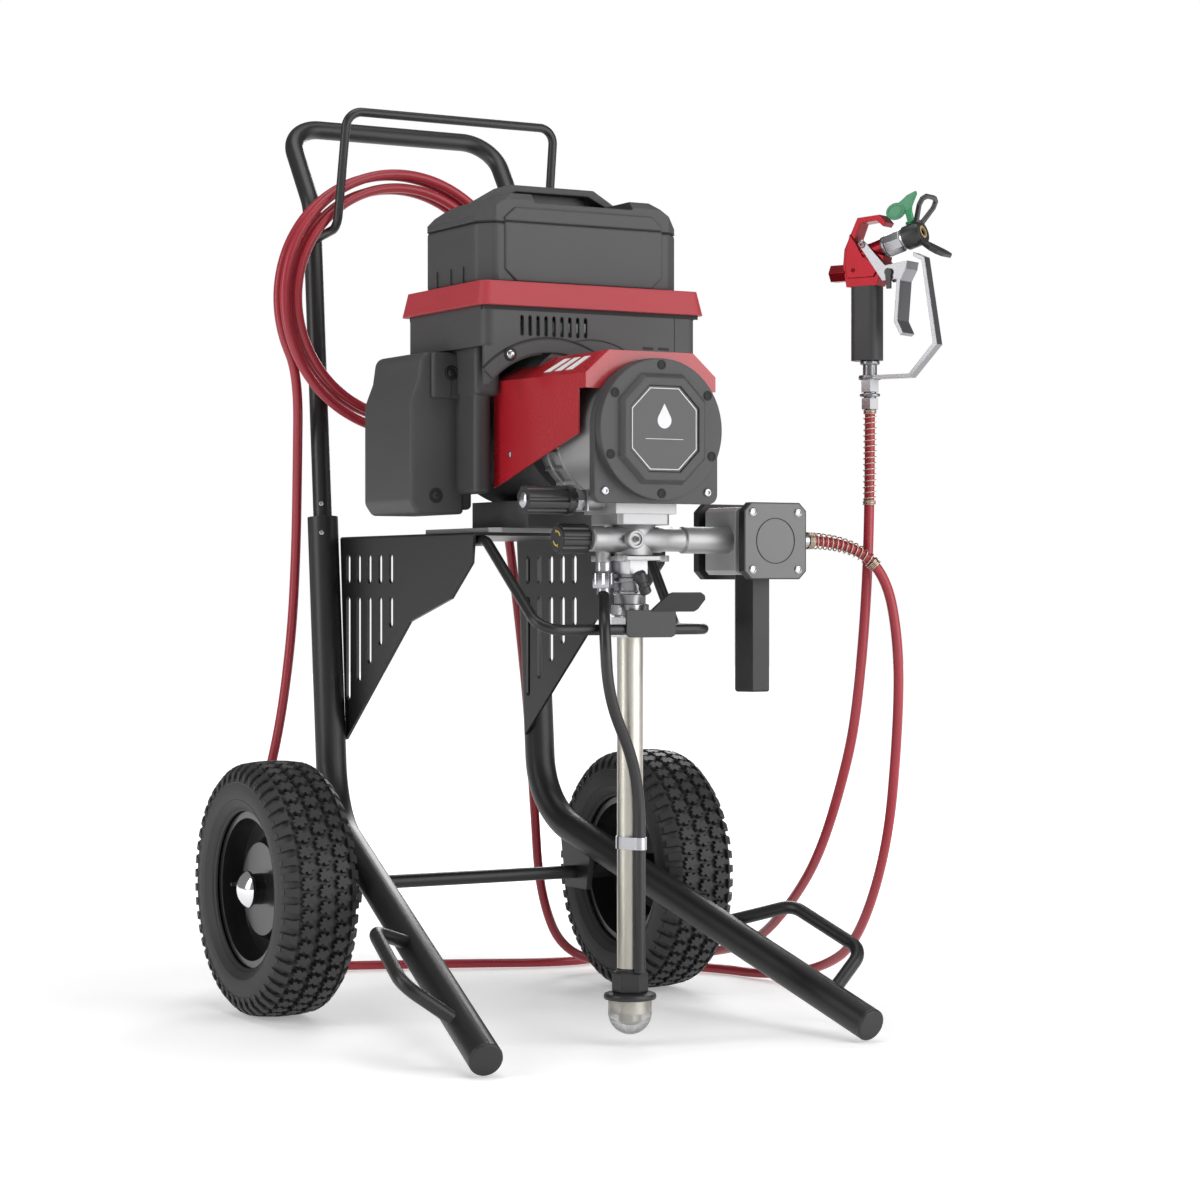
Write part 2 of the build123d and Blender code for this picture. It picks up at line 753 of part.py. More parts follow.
cylinder_low = 500.0
with BuildPart() as pump_cylinder:
    with Locations((0, pump_y, (cylinder_low + block_low) / 2)):
        Cylinder(19.0, block_low - cylinder_low)
    with BuildSketch(Plane.XY.offset(block_low - 22.0)):
        with Locations((0, pump_y)):
            RegularPolygon(24.5, 6)
    extrude(amount=18.0)
    with BuildSketch(Plane.XY.offset(cylinder_low - 6.0)):
        with Locations((0, pump_y)):
            RegularPolygon(26.0, 6)
    extrude(amount=24.0)
    with Locations((0, pump_y, (cylinder_low + 10.0 + block_low) / 2)):
        Cylinder(16.0 + fit, block_low - cylinder_low - 10.0, mode=Mode.SUBTRACT)
    with Locations((0, pump_y, cylinder_low)):
        Cylinder(6.5, 40.0, mode=Mode.SUBTRACT)
    with Locations((0, pump_y, cylinder_low - 3.0)):
        Cylinder(15.75, 6.0, mode=Mode.SUBTRACT)
save(pump_cylinder, "pump_cylinder")

ball_r = 9.0
with BuildPart() as inlet_ball:
    with Locations((0, pump_y, cylinder_low + 10.0 + sqrt(ball_r**2 - 6.5**2) + 0.05)):
        Sphere(ball_r)
save(inlet_ball, "inlet_ball")

suction_r = 15.75
with BuildPart() as suction_tube:
    with Locations((0, pump_y, (90.0 + cylinder_low) / 2)):
        Cylinder(suction_r, cylinder_low - 90.0)
        Cylinder(suction_r - 2.0, cylinder_low - 90.0, mode=Mode.SUBTRACT)
save(suction_tube, "suction_tube")

with BuildPart() as suction_strainer:
    with BuildSketch(Plane.XY.offset(63.0)):
        with Locations((0, pump_y)):
            RegularPolygon(25.0, 6)
    extrude(amount=22.0)
    with Locations((0, pump_y, 87.5)):
        Cylinder(19.0, 5.0)
    with Locations((0, pump_y, 60.0)):
        Cylinder(32.0, 6.0)
    with BuildSketch(Plane.XZ.offset(-pump_y)):
        with BuildLine():
            Polyline(
                (0, 57.0),
                (26.5, 57.0),
                (26.5, 42.0),
                (24.5, 31.0),
                (19.0, 21.5),
                (10.0, 15.0),
                (0, 13.0),
                close=True,
            )
        make_face()
    revolve(axis=Axis((0, pump_y, 0), (0, 0, 1)))
    with Locations((0, pump_y, 62.0)):
        Cylinder(suction_r - 2.0, 40.0, mode=Mode.SUBTRACT)
    with Locations((0, pump_y, 95.0)):
        Cylinder(suction_r, 10.0, mode=Mode.SUBTRACT)
save(suction_strainer, "suction_strainer")

# Prime valve knob and pressure control knob, both on stems that point to -X.
knob_r = 18.0
with BuildPart() as prime_knob:
    with BuildSketch(Plane.YZ.offset(-100.0)):
        with Locations((pump_y, port_z)):
            Circle(knob_r)
            with PolarLocations(knob_r + 1.5, 10):
                Circle(3.2, mode=Mode.SUBTRACT)
    extrude(amount=37.0)
    with Locations((-68.0, pump_y, port_z)):
        Cylinder(stem_r + fit, 12.6, rotation=(0, 90, 0), mode=Mode.SUBTRACT)
save(prime_knob, "prime_knob")

control_z = 658.0
with BuildPart() as pressure_knob:
    with BuildSketch(Plane.YZ.offset(-146.0)):
        with Locations((pump_y, control_z)):
            Circle(17.0)
            with PolarLocations(18.3, 8):
                Circle(3.2, mode=Mode.SUBTRACT)
    extrude(amount=65.4)
    with Locations((-86.0, pump_y, control_z)):
        Cylinder(6.0 + fit, 13.0, rotation=(0, 90, 0), mode=Mode.SUBTRACT)
save(pressure_knob, "pressure_knob")

# Drain tube down the front of the suction tube, with its nut and clip.
drain_r = 7.0
drain_y = pump_y - suction_r - drain_r - gap
drain_nut_low = 557.5
drain_route = [
    (drain_x, pump_y, 571.0),
    (drain_x, pump_y, 546.0),
    (-68.0, -494.0, 510.0),
    (-60.0, -489.0, 425.0),
    (0.0, drain_y, 325.0),
    (0.0, drain_y, 90.0),
]
drain_tube = swept(drain_route, bend_radii(drain_route), drain_r, 5.0)
save(drain_tube, "drain_tube")

with BuildPart() as drain_fittings:
    with BuildSketch(Plane.XY.offset(drain_nut_low)):
        with Locations((drain_x, pump_y)):
            RegularPolygon(12.2, 6)
            Circle(drain_r, mode=Mode.SUBTRACT)
    extrude(amount=571.0 - drain_nut_low)
    # Clip that ties the drain tube to the suction tube.
    with BuildSketch(Plane.XY.offset(238.0)):
        with Locations((0, pump_y)):
            Circle(suction_r + 1.6)
        with Locations((0, drain_y)):
            Circle(drain_r + 1.6)
        make_hull()
        with Locations((0, pump_y)):
            Circle(suction_r, mode=Mode.SUBTRACT)
        with Locations((0, drain_y)):
            Circle(drain_r, mode=Mode.SUBTRACT)
    extrude(amount=15.0)
save(drain_fittings, "drain_fittings")

# ---------------------------------------------------------------- filter
block_front = -478.0
block_back = -384.0
filter_y = (block_front + block_back) / 2
port_r = 6.6
port_depth = 14.0
with BuildPart() as filter_body:
    with Locations((filter_x, filter_y, 611.0)):
        Box(86.0, block_front * -1 + block_back, 82.0)
    chamfer(edges().filter_by(Axis.Y), length=8.0)
    with Locations((filter_x, pump_y, 611.0 - 10.0)):
        Cylinder(16.0, 90.0, mode=Mode.SUBTRACT)
    # Plug on the near side, spare gun port on the far side.
    with Locations((filter_x - 43.0 - 2.0, filter_y + 24.0, 611.0)):
        Cylinder(8.0, 4.0, rotation=(0, 90, 0))
    with Locations((filter_x + 43.0 + 3.0, filter_y + 26.0, 611.0)):
        Cylinder(10.5, 6.0, rotation=(0, 90, 0))
    with Locations((filter_x + 43.0 + 6.0 - port_depth / 2, filter_y + 26.0, 611.0)):
        Cylinder(port_r, port_depth, rotation=(0, 90, 0), mode=Mode.SUBTRACT)
save(filter_body, "filter_body")

with BuildPart() as filter_plates:
    for start, amount in ((-block_front, 12.0), (-block_back, -12.0)):
        with BuildSketch(Plane.XZ.offset(start)):
            with Locations((filter_x, 611.0)):
                Rectangle(90.0, 94.0)
            chamfer(vertices(), length=10.0)
        extrude(amount=amount)
    with BuildSketch(Plane.XZ.offset(490.0)):
        with Locations((filter_x, 611.0)):
            Circle(27.0)
            Circle(24.0, mode=Mode.SUBTRACT)
            with GridLocations(66.0, 70.0, 2, 2):
                Circle(5.0)
    extrude(amount=-2.0, mode=Mode.SUBTRACT)
save(filter_plates, "filter_plates")

with BuildPart() as filter_bowl:
    with BuildSketch(Plane.XY.offset(425.0)):
        with Locations((filter_x, pump_y)):
            RegularPolygon(24.0, 6)
    extrude(amount=570.0 - 425.0)
    fillet(faces().sort_by(Axis.Z)[0].edges(), radius=3.0)
    with Locations((filter_x, pump_y, 502.0)):
        Cylinder(15.0, 136.0, mode=Mode.SUBTRACT)
save(filter_bowl, "filter_bowl")

with BuildPart() as filter_element:
    with Locations((filter_x, pump_y, 434.0 + 105.0)):
        Cylinder(11.0, 210.0)
        Cylinder(8.0, 210.0, mode=Mode.SUBTRACT)
save(filter_element, "filter_element")

outlet_end = 256.0
with BuildPart() as hose_outlet:
    with BuildSketch(Plane.YZ.offset(218.0)):
        with Locations((pump_y, port_z)):
            RegularPolygon(14.0, 6)
    extrude(amount=18.0)
    with BuildSketch(Plane.YZ.offset(236.0)):
        with Locations((pump_y, port_z)):
            Circle(9.0)
    extrude(amount=outlet_end - 236.0)
save(hose_outlet, "hose_outlet")

# ---------------------------------------------------------------- pail hook
pail_left = -142.0
pail_right = 94.0
pail_leg = 125.0
pail_r = 6.5
pail_z = 503.5
pail_y = -471.0
pail_high = cradle_top - sheet - pail_r
pail_bend = 26.0
pail_route = [
    (-pail_leg, -235.0, pail_high),
    (-pail_leg, -300.0, pail_high),
    (pail_left, pail_y, pail_z),
    (pail_right, pail_y, pail_z),
    (pail_right + 2.0, -385.0, pail_z),
    (100.0, -300.0, pail_high),
    (100.0, -235.0, pail_high),
]
pail_rod = swept(pail_route, pail_bend, pail_r)
save(pail_rod, "pail_rod")

hook_face = pail_y - pail_r
hook_sheet = 3.0
hook_bend = 526.0
with BuildPart() as pail_hook:
    with Locations((4.5, hook_face - hook_sheet / 2, (494.0 + hook_bend) / 2)):
        Box(69.0, hook_sheet, hook_bend - 494.0)
    # Lip that leans forward.
    with BuildSketch(Plane.YZ):
        with BuildLine():
            Polyline(
                (hook_face, hook_bend - 5.0),
                (hook_face, hook_bend),
                (hook_face - 12.0, 549.0),
                (hook_face - 12.0 - hook_sheet, 548.0),
                (hook_face - hook_sheet, hook_bend - 1.0),
                (hook_face - hook_sheet, hook_bend - 5.0),
                close=True,
            )
        make_face()
    extrude(amount=75.0)
save(pail_hook, "pail_hook")

# ---------------------------------------------------------------- battery
pack_x = 143.0
pack_front = -323.0
pack_back = -153.0
pack_mid = (pack_front + pack_back) / 2
seam_z = 1003.0
pack_top = 1061.0
lid_edge = 1010.0
lid_flat = 98.0
lid_top = 1039.0
grip_y = -262.0
with BuildPart() as battery_case:
    with BuildSketch(Plane.XY.offset(deck_high)):
        with Locations((0, pack_mid)):
            Rectangle(2 * pack_x - 4.0, pack_back - pack_front)
        chamfer(vertices(), length=18.0)
    extrude(amount=seam_z - deck_high)
    with BuildSketch(Plane.XY.offset(deck_high + unit_wall)):
        with Locations((0, pack_mid)):
            Rectangle(2 * pack_x - 16.0, pack_back - pack_front - 12.0)
        chamfer(vertices(), length=14.0)
    extrude(amount=seam_z - deck_high - unit_wall, mode=Mode.SUBTRACT)
save(battery_case, "battery_case")

with BuildPart() as battery_lid:
    with BuildSketch(Plane.XZ.offset(-pack_back)):
        with BuildLine():
            Polyline(
                (-pack_x, seam_z),
                (-pack_x, lid_edge),
                (-lid_flat, lid_top),
                (lid_flat, lid_top),
                (pack_x, lid_edge),
                (pack_x, seam_z),
                close=True,
            )
        make_face()
    extrude(amount=pack_back - pack_front)
    with BuildSketch(Plane.XY.offset(seam_z)):
        with Locations((0, pack_mid)):
            Rectangle(2 * pack_x, pack_back - pack_front)
        chamfer(vertices(), length=20.0)
    extrude(amount=lid_top - seam_z, mode=Mode.INTERSECT)
    chamfer(faces().sort_by(Axis.Z)[-1].edges().filter_by(Axis.X), length=8.0)
    # Recess open at the front, for the fingers under the grip.
    with Locations((0, grip_y - 20.0, lid_top)):
        Box(140.0, 110.0, 22.0, mode=Mode.SUBTRACT)
    # Arched grip bar.
    with BuildSketch(Plane.XZ.offset(-grip_y - 22.0)):
        with BuildLine():
            Polyline((-98.0, lid_top), (-60.0, pack_top), (60.0, pack_top), (98.0, lid_top), close=True)
        make_face()
        with BuildLine():
            Polyline(
                (-82.0, lid_top),
                (-52.0, pack_top - 8.0),
                (52.0, pack_top - 8.0),
                (82.0, lid_top),
                close=True,
            )
        make_face(mode=Mode.SUBTRACT)
    extrude(amount=-44.0)
    with BuildSketch(Plane.XY.offset(seam_z)):
        with Locations((0, pack_mid)):
            Rectangle(2 * pack_x - 16.0, pack_back - pack_front - 12.0)
        chamfer(vertices(), length=14.0)
    extrude(amount=12.0, mode=Mode.SUBTRACT)
save(battery_lid, "battery_lid")

cell_r = 10.5
with BuildPart() as battery_cells:
    with GridLocations(22.0, 22.0, 11, 6):
        with Locations((0, pack_mid, deck_high + unit_wall + 35.0)):
            Cylinder(cell_r, 70.0)
    with Locations((0, pack_mid, deck_high + unit_wall + 71.0)):
        Box(240.0, 130.0, 2.0)
save(battery_cells, "battery_cells")

# Rocker that switches the machine on, in the back wall of the upper housing.
with BuildPart() as power_switch:
    with Locations((100.0, deck_back - 3.0, 872.0)):
        Box(26.0, 7.0, 17.0)
save(power_switch, "power_switch")

# ---------------------------------------------------------------- spray gun
gun_yaw = degrees(atan2(gun_forward[1], gun_forward[0]))
gun_place = Location((gun_origin[0], gun_origin[1], 0), (0, 0, gun_yaw))
barrel_start = (26.0, 986.0)
barrel_tilt = 16.0
barrel_place = gun_place * Location((barrel_start[0], 0, barrel_start[1]), (0, -barrel_tilt, 0))
needle_r = 2.0
grip_top = 936.0
grip_low = 842.0
fitting_low = 780.0
trigger_pivot = (-3.0, 988.0)
tip_s = 40.0
tip_r = 6.0
yoke_out = 15.0
yoke_in = 13.0


def gun_plane(flat):
    """A plane in the gun's own frame: X forward, Y across, Z up the handle."""
    return Plane(gun_place * flat.location)


def barrel_plane(flat):
    """A plane in the barrel's frame: X along the barrel from the red neck's end."""
    return Plane(barrel_place * flat.location)


def gun_side(points, half):
    """Flat piece cut from a side outline of the gun, centred across it."""
    with BuildPart() as piece:
        with BuildSketch(gun_plane(Plane.XZ)):
            with BuildLine():
                Polyline(*points, close=True)
            make_face()
        extrude(amount=half, both=True)
    return piece


body_outline = [
    (-28.0, grip_top),
    (-33.0, 962.0),
    (-31.0, 984.0),
    (-12.0, 1023.0),
    (20.0, 1025.0),
    (29.0, 1015.0),
    (25.0, 1010.0),
    (16.0, 1018.0),
    (-8.0, 1016.0),
    (-17.0, 994.0),
    (-2.0, 981.0),
    (26.0, 973.0),
    (24.0, 960.0),
    (16.0, grip_top),
]
body_blank = gun_side(body_outline, 11.0)
with BuildPart() as gun_body:
    add(body_blank.part)
    with BuildSketch(barrel_plane(Plane.YZ.offset(-36.0))):
        Circle(12.0)
    extrude(amount=36.0)
    with BuildSketch(gun_plane(Plane.YZ.offset(-30.0))):
        with Locations((0, 955.0)):
            RegularPolygon(12.0, 6)
    extrude(amount=-24.0)
    with BuildSketch(barrel_plane(Plane.YZ.offset(-30.0))):
        Circle(needle_r + fit)
    extrude(amount=30.0, mode=Mode.SUBTRACT)
    # Pin through the body that carries the trigger.
    with BuildSketch(gun_plane(Plane.XZ)):
        with Locations(trigger_pivot):
            Circle(2.5)
    extrude(amount=16.5, both=True)
save(gun_body, "gun_body")

handle_steps = [
    (0.0, 14.0, 12.0),
    (22.0, 38.0, 12.5),
]
guard_outline = [
    (12.0, 818.0),
    (62.0, 818.0),
    (100.0, 858.0),
    (82.0, 968.0),
    (66.0, 975.0),
    (66.0, 970.0),
    (78.0, 964.0),
    (94.0, 860.0),
    (60.0, 823.0),
    (12.0, 823.0),
]
guard_blank = gun_side(guard_outline, 7.0)
with BuildPart() as gun_handle:
    with BuildSketch(gun_plane(Plane.XY.offset(fitting_low))):
        Circle(8.0)
    extrude(amount=38.0)
    for low, high, radius in handle_steps:
        with BuildSketch(gun_plane(Plane.XY.offset(fitting_low + low))):
            RegularPolygon(radius, 6)
        extrude(amount=high - low)
    with BuildSketch(gun_plane(Plane.XY.offset(fitting_low + 38.0))):
        Circle(14.0)
    extrude(amount=5.0)
    add(guard_blank.part)
    with BuildSketch(gun_plane(Plane.XY.offset(fitting_low + 38.0))):
        Circle(9.0)
    extrude(amount=grip_top - fitting_low - 38.0)
    with BuildSketch(gun_plane(Plane.XY.offset(fitting_low))):
        Circle(4.0)
    extrude(amount=grip_top - fitting_low, mode=Mode.SUBTRACT)
save(gun_handle, "gun_handle")

with BuildPart() as gun_grip:
    with BuildSketch(gun_plane(Plane.XY.offset(grip_low))):
        with Locations((-4.0, 0)):
            RectangleRounded(40.0, 28.0, 11.0)
        Circle(9.0, mode=Mode.SUBTRACT)
    extrude(amount=grip_top - grip_low)
save(gun_grip, "gun_grip")

# Trigger: two yoke plates on the pivot pin and a wide finger strip in front.
yoke_outline = [
    (-9.0, 990.0),
    (-3.0, 995.0),
    (4.0, 988.0),
    (30.0, 960.0),
    (62.0, 964.0),
    (60.0, 954.0),
    (48.0, 942.0),
    (26.0, 941.0),
]
strip_outline = [
    (62.0, 964.0),
    (60.0, 954.0),
    (52.0, 940.0),
    (48.0, 890.0),
    (56.0, 874.0),
    (52.0, 871.0),
    (43.0, 888.0),
    (47.0, 942.0),
    (54.0, 954.0),
    (54.0, 963.0),
]
yoke_blank = gun_side(yoke_outline, yoke_out)
yoke_slot = gun_side([(-20.0, 930.0), (-20.0, 1000.0), (70.0, 1000.0), (70.0, 930.0)], yoke_in)
strip_blank = gun_side(strip_outline, yoke_out)
with BuildPart() as gun_trigger:
    add(yoke_blank.part)
    add(yoke_slot.part, mode=Mode.SUBTRACT)
    add(strip_blank.part)
    with BuildSketch(gun_plane(Plane.XZ)):
        with Locations(trigger_pivot):
            Circle(2.5 + fit)
    extrude(amount=20.0, both=True, mode=Mode.SUBTRACT)
save(gun_trigger, "gun_trigger")

lock_pivot = (36.0, 951.0)
with BuildPart() as trigger_lock:
    with BuildSketch(gun_plane(Plane.XZ.offset(yoke_out + gap))):
        with Locations(lock_pivot):
            Circle(5.0)
        with BuildLine():
            Polyline((32.0, 951.0), (40.0, 951.0), (40.0, 930.0), (34.0, 930.0), close=True)
        make_face()
    extrude(amount=3.0)
save(trigger_lock, "trigger_lock")

with BuildPart() as gun_needle:
    with BuildSketch(barrel_plane(Plane.YZ.offset(-27.0))):
        Circle(needle_r)
    extrude(amount=50.0)
save(gun_needle, "gun_needle")

wing_tilt = 42.0
wing_outline = [(0.0, -9.0), (34.0, -17.0), (43.0, -10.0), (43.0, 10.0), (34.0, 17.0), (0.0, 9.0)]
wing_hole = [(8.0, -4.5), (31.0, -11.0), (37.5, -7.0), (37.5, 7.0), (31.0, 11.0), (8.0, 4.5)]
with BuildPart() as tip_guard:
    with BuildSketch(barrel_plane(Plane.YZ.offset(gap))):
        RegularPolygon(14.0, 8)
    extrude(amount=28.0 - gap)
    with BuildSketch(barrel_plane(Plane.YZ.offset(28.0))):
        Circle(14.0)
    extrude(amount=25.0)
    # Two open wings that keep fingers away from the jet.
    for up in (-1, 1):
        wing_place = barrel_place * Location((50.0, 0, up * 7.0), (0, -up * wing_tilt, 0))
        with BuildSketch(Plane(wing_place)):
            with BuildLine():
                Polyline(*wing_outline, close=True)
            make_face()
            with BuildLine():
                Polyline(*wing_hole, close=True)
            make_face(mode=Mode.SUBTRACT)
        extrude(amount=2.5, both=True)
    with BuildSketch(barrel_plane(Plane.YZ)):
        Circle(5.0)
    extrude(amount=110.0, mode=Mode.SUBTRACT)
    with BuildSketch(barrel_plane(Plane.XY.offset(-9.0))):
        with Locations((tip_s, 0)):
            Circle(tip_r + fit)
    extrude(amount=40.0, mode=Mode.SUBTRACT)
save(tip_guard, "tip_guard")

# Reversible tip: a cross barrel with its turning handle on top.
with BuildPart() as spray_tip:
    with BuildSketch(barrel_plane(Plane.XY.offset(-8.5))):
        with Locations((tip_s, 0)):
            Circle(tip_r)
    extrude(amount=30.0)
    with BuildSketch(barrel_plane(Plane.XZ)):
        with BuildLine():
            Polyline(
                (tip_s - 7.0, 20.0),
                (tip_s + 6.0, 20.0),
                (tip_s + 4.0, 38.0),
                (tip_s + 14.0, 52.0),
                (tip_s - 4.0, 52.0),
                (tip_s - 22.0, 48.0),
                (tip_s - 27.0, 40.0),
                (tip_s - 25.0, 28.0),
                (tip_s - 16.0, 24.0),
                (tip_s - 7.0, 30.0),
                close=True,
            )
        make_face()
    extrude(amount=3.0, both=True)
    with BuildSketch(barrel_plane(Plane.YZ.offset(tip_s - 10.0))):
        Circle(1.5)
    extrude(amount=20.0, mode=Mode.SUBTRACT)
save(spray_tip, "spray_tip")

# ---------------------------------------------------------------- hose
coil_centre = (-55.0, 89.0, 940.0)
coil_outer = 185.0
coil_inner = 144.2
coil_half = 18.5
with BuildPart() as hose_coil:
    with BuildSketch(Plane.XZ.offset(-coil_centre[1])):
        with Locations((coil_centre[0], coil_centre[2])):
            Circle(coil_outer)
            Circle(coil_inner, mode=Mode.SUBTRACT)
    extrude(amount=coil_half, both=True)
    fillet(edges(), radius=6.0)
    add(hose_rack.part, mode=Mode.SUBTRACT)
save(hose_coil, "hose_coil")

supply_route = [
    (outlet_end, pump_y, port_z),
    (314.0, pump_y, port_z),
    (361.0, -460.0, 574.0),
    (380.0, -462.0, 480.0),
    (388.0, -448.0, 370.0),
    (413.0, -390.0, 214.0),
    (449.0, -270.0, 79.0),
    (474.0, -150.0, 30.0),
    (464.0, -33.0, 7.0),
    (432.0, 85.0, 8.0),
    (350.0, 172.0, 7.0),
    (252.0, 186.0, 25.0),
    (198.0, 160.0, 118.0),
    (184.0, 150.0, 253.0),
    (172.0, 152.0, 420.0),
    (148.0, 150.0, 600.0),
    (108.0, 120.0, 740.0),
    (70.0, 90.0, 815.0),
]
gun_route = [
    (gun_origin[0], gun_origin[1], fitting_low),
    (gun_origin[0], gun_origin[1], 672.0),
    (350.0, -433.0, 538.0),
    (346.0, -420.0, 411.0),
    (348.0, -395.0, 333.0),
    (365.0, -310.0, 210.0),
    (393.0, -200.0, 132.0),
    (427.0, -60.0, 62.0),
    (475.0, 100.0, 28.0),
    (455.0, 225.0, 7.0),
    (375.0, 262.0, 8.0),
    (285.0, 235.0, 7.0),
    (150.0, 290.0, 8.0),
    (-10.0, 360.0, 7.0),
    (-140.0, 365.0, 12.0),
    (-215.0, 280.0, 80.0),
    (-228.0, 190.0, 220.0),
    (-208.0, 152.0, 347.0),
    (-189.0, 150.0, 482.0),
    (-184.0, 146.0, 600.0),
    (-188.0, 132.0, 710.0),
    (-182.0, 92.0, 812.0),
]


for name, route in (("hose_supply", supply_route), ("hose_gun", gun_route)):
    radii = bend_radii(route)
    tube = swept(route, radii, hose_r)
    with BuildPart() as hose:
        add(tube.part)
        add(hose_coil.part, mode=Mode.SUBTRACT)
    save(hose, name)
    runs = sum((Vector(*q) - Vector(*p)).length for p, q in zip(route, route[1:]))
    print(name, "smallest bend radius", round(min(radii), 1), "mm; corner-to-corner", round(runs), "mm")
    print(name, "volume", round(hose.part.volume), "section", round(3.14159 * hose_r**2, 1))
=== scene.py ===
import json
import random
from math import cos, pi, radians, sin, sqrt

import bmesh
import bpy
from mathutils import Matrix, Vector


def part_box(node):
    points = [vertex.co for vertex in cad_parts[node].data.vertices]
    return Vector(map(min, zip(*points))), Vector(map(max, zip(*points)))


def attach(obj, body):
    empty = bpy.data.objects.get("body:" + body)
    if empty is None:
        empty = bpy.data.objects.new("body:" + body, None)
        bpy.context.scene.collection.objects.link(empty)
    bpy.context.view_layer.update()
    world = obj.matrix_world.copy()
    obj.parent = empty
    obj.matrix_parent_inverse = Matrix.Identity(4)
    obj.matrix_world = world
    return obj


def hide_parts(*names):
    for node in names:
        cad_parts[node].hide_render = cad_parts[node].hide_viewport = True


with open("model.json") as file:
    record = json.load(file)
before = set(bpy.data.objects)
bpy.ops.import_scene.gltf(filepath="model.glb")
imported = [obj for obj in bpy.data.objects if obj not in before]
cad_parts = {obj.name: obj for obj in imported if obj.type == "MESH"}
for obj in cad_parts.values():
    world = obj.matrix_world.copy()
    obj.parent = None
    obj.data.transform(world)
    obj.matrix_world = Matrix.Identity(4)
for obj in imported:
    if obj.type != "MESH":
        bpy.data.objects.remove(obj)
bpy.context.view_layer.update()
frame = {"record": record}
random.seed(7)
mm = 0.001
FRONT = Vector((0, -1, 0))
UP = Vector((0, 0, 1))


def p(x, y, z):
    """A point given in millimetres."""
    return Vector((x * mm, y * mm, z * mm))


# ---------------------------------------------------------------- camera
camera_data = bpy.data.cameras.new("camera")
camera_data.sensor_width = 36.0
camera_data.lens = 87.38
camera_data.clip_end = 50.0
camera = bpy.data.objects.new("camera", camera_data)
camera.location = p(-1772.4, -3485.4, 552.2)
yaw = radians(29.584)
pitch = radians(0.2186)
looking = Vector((sin(yaw) * cos(pitch), cos(yaw) * cos(pitch), -sin(pitch)))
camera.rotation_euler = looking.to_track_quat("-Z", "Y").to_euler()
bpy.context.scene.collection.objects.link(camera)
bpy.context.scene.camera = camera


# ---------------------------------------------------------------- materials
def node_input(nodes, kind, **values):
    node = nodes.new(kind)
    for key, value in values.items():
        name = key.replace("_", " ")
        if name in node.inputs:
            node.inputs[name].default_value = value
        else:
            setattr(node, key, value)
    return node


def surface(
    name,
    colour,
    rough=0.5,
    metal=0.0,
    vary=0.12,
    vary_scale=14.0,
    grain=900.0,
    bump=0.1,
    rough_vary=0.08,
    soft=0.0,
    wear_and_sheen=0.0,
    wear_and_sheen_colour=(0.3, 0.3, 0.3),
    coat=0.0,
    brush=None,
):
    """Coloured surface with cloudy tone changes, fine grain, softened edges and edges lightened by wear and
    painted highlight.
    """
    mat = bpy.data.materials.new(name)
    mat.use_nodes = True
    tree = mat.node_tree
    nodes, link = tree.nodes, tree.links.new
    shader = nodes["Principled BSDF"]
    shader.inputs["Metallic"].default_value = metal
    shader.inputs["Coat Weight"].default_value = coat
    shader.inputs["Coat Roughness"].default_value = 0.12
    where = nodes.new("ShaderNodeTexCoord").outputs["Object"]
    cloud = node_input(nodes, "ShaderNodeTexNoise", Scale=vary_scale, Detail=5.0)
    link(where, cloud.inputs["Vector"])
    mix = node_input(nodes, "ShaderNodeMix", data_type="RGBA", blend_type="MIX")
    mix.inputs[6].default_value = (*[c * (1 - vary) for c in colour], 1)
    mix.inputs[7].default_value = (*[min(1, c * (1 + vary)) for c in colour], 1)
    link(cloud.outputs["Fac"], mix.inputs[0])
    tone = mix.outputs[2]
    fine = node_input(nodes, "ShaderNodeTexNoise", Scale=grain, Detail=2.0)
    if brush:
        stretch = node_input(nodes, "ShaderNodeMapping")
        stretch.inputs["Scale"].default_value = brush
        link(where, stretch.inputs["Vector"])
        link(stretch.outputs["Vector"], fine.inputs["Vector"])
    else:
        link(where, fine.inputs["Vector"])
    span = node_input(nodes, "ShaderNodeMapRange")
    span.inputs["To Min"].default_value = rough - rough_vary
    span.inputs["To Max"].default_value = rough + rough_vary
    blend = node_input(nodes, "ShaderNodeMix", data_type="FLOAT")
    blend.inputs[0].default_value = 0.4
    link(cloud.outputs["Fac"], blend.inputs[2])
    link(fine.outputs["Fac"], blend.inputs[3])
    link(blend.outputs[0], span.inputs["Value"])
    link(span.outputs["Result"], shader.inputs["Roughness"])
    relief = node_input(nodes, "ShaderNodeBump", Strength=bump, Distance=0.0006)
    link(fine.outputs["Fac"], relief.inputs["Height"])
    if soft:
        edge = nodes.new("ShaderNodeBevel")
        edge.samples = 4
        edge.inputs["Radius"].default_value = soft
        link(edge.outputs["Normal"], relief.inputs["Normal"])
        # Edges turn toward a lighter colour: partly wear, partly painted highlight.
        if wear_and_sheen:
            geometry = nodes.new("ShaderNodeNewGeometry")
            dot = node_input(nodes, "ShaderNodeVectorMath", operation="DOT_PRODUCT")
            link(edge.outputs["Normal"], dot.inputs[0])
            link(geometry.outputs["Normal"], dot.inputs[1])
            rub_and_sheen = node_input(nodes, "ShaderNodeMapRange")
            rub_and_sheen.inputs["From Min"].default_value = 0.98
            rub_and_sheen.inputs["From Max"].default_value = 0.80
            rub_and_sheen.inputs["To Max"].default_value = wear_and_sheen
            link(dot.outputs["Value"], rub_and_sheen.inputs["Value"])
            scuffed_and_sheen = node_input(nodes, "ShaderNodeMix", data_type="RGBA")
            link(rub_and_sheen.outputs["Result"], scuffed_and_sheen.inputs[0])
            link(tone, scuffed_and_sheen.inputs[6])
            scuffed_and_sheen.inputs[7].default_value = (*wear_and_sheen_colour, 1)
            tone = scuffed_and_sheen.outputs[2]
    link(tone, shader.inputs["Base Color"])
    link(relief.outputs["Normal"], shader.inputs["Normal"])
    return mat


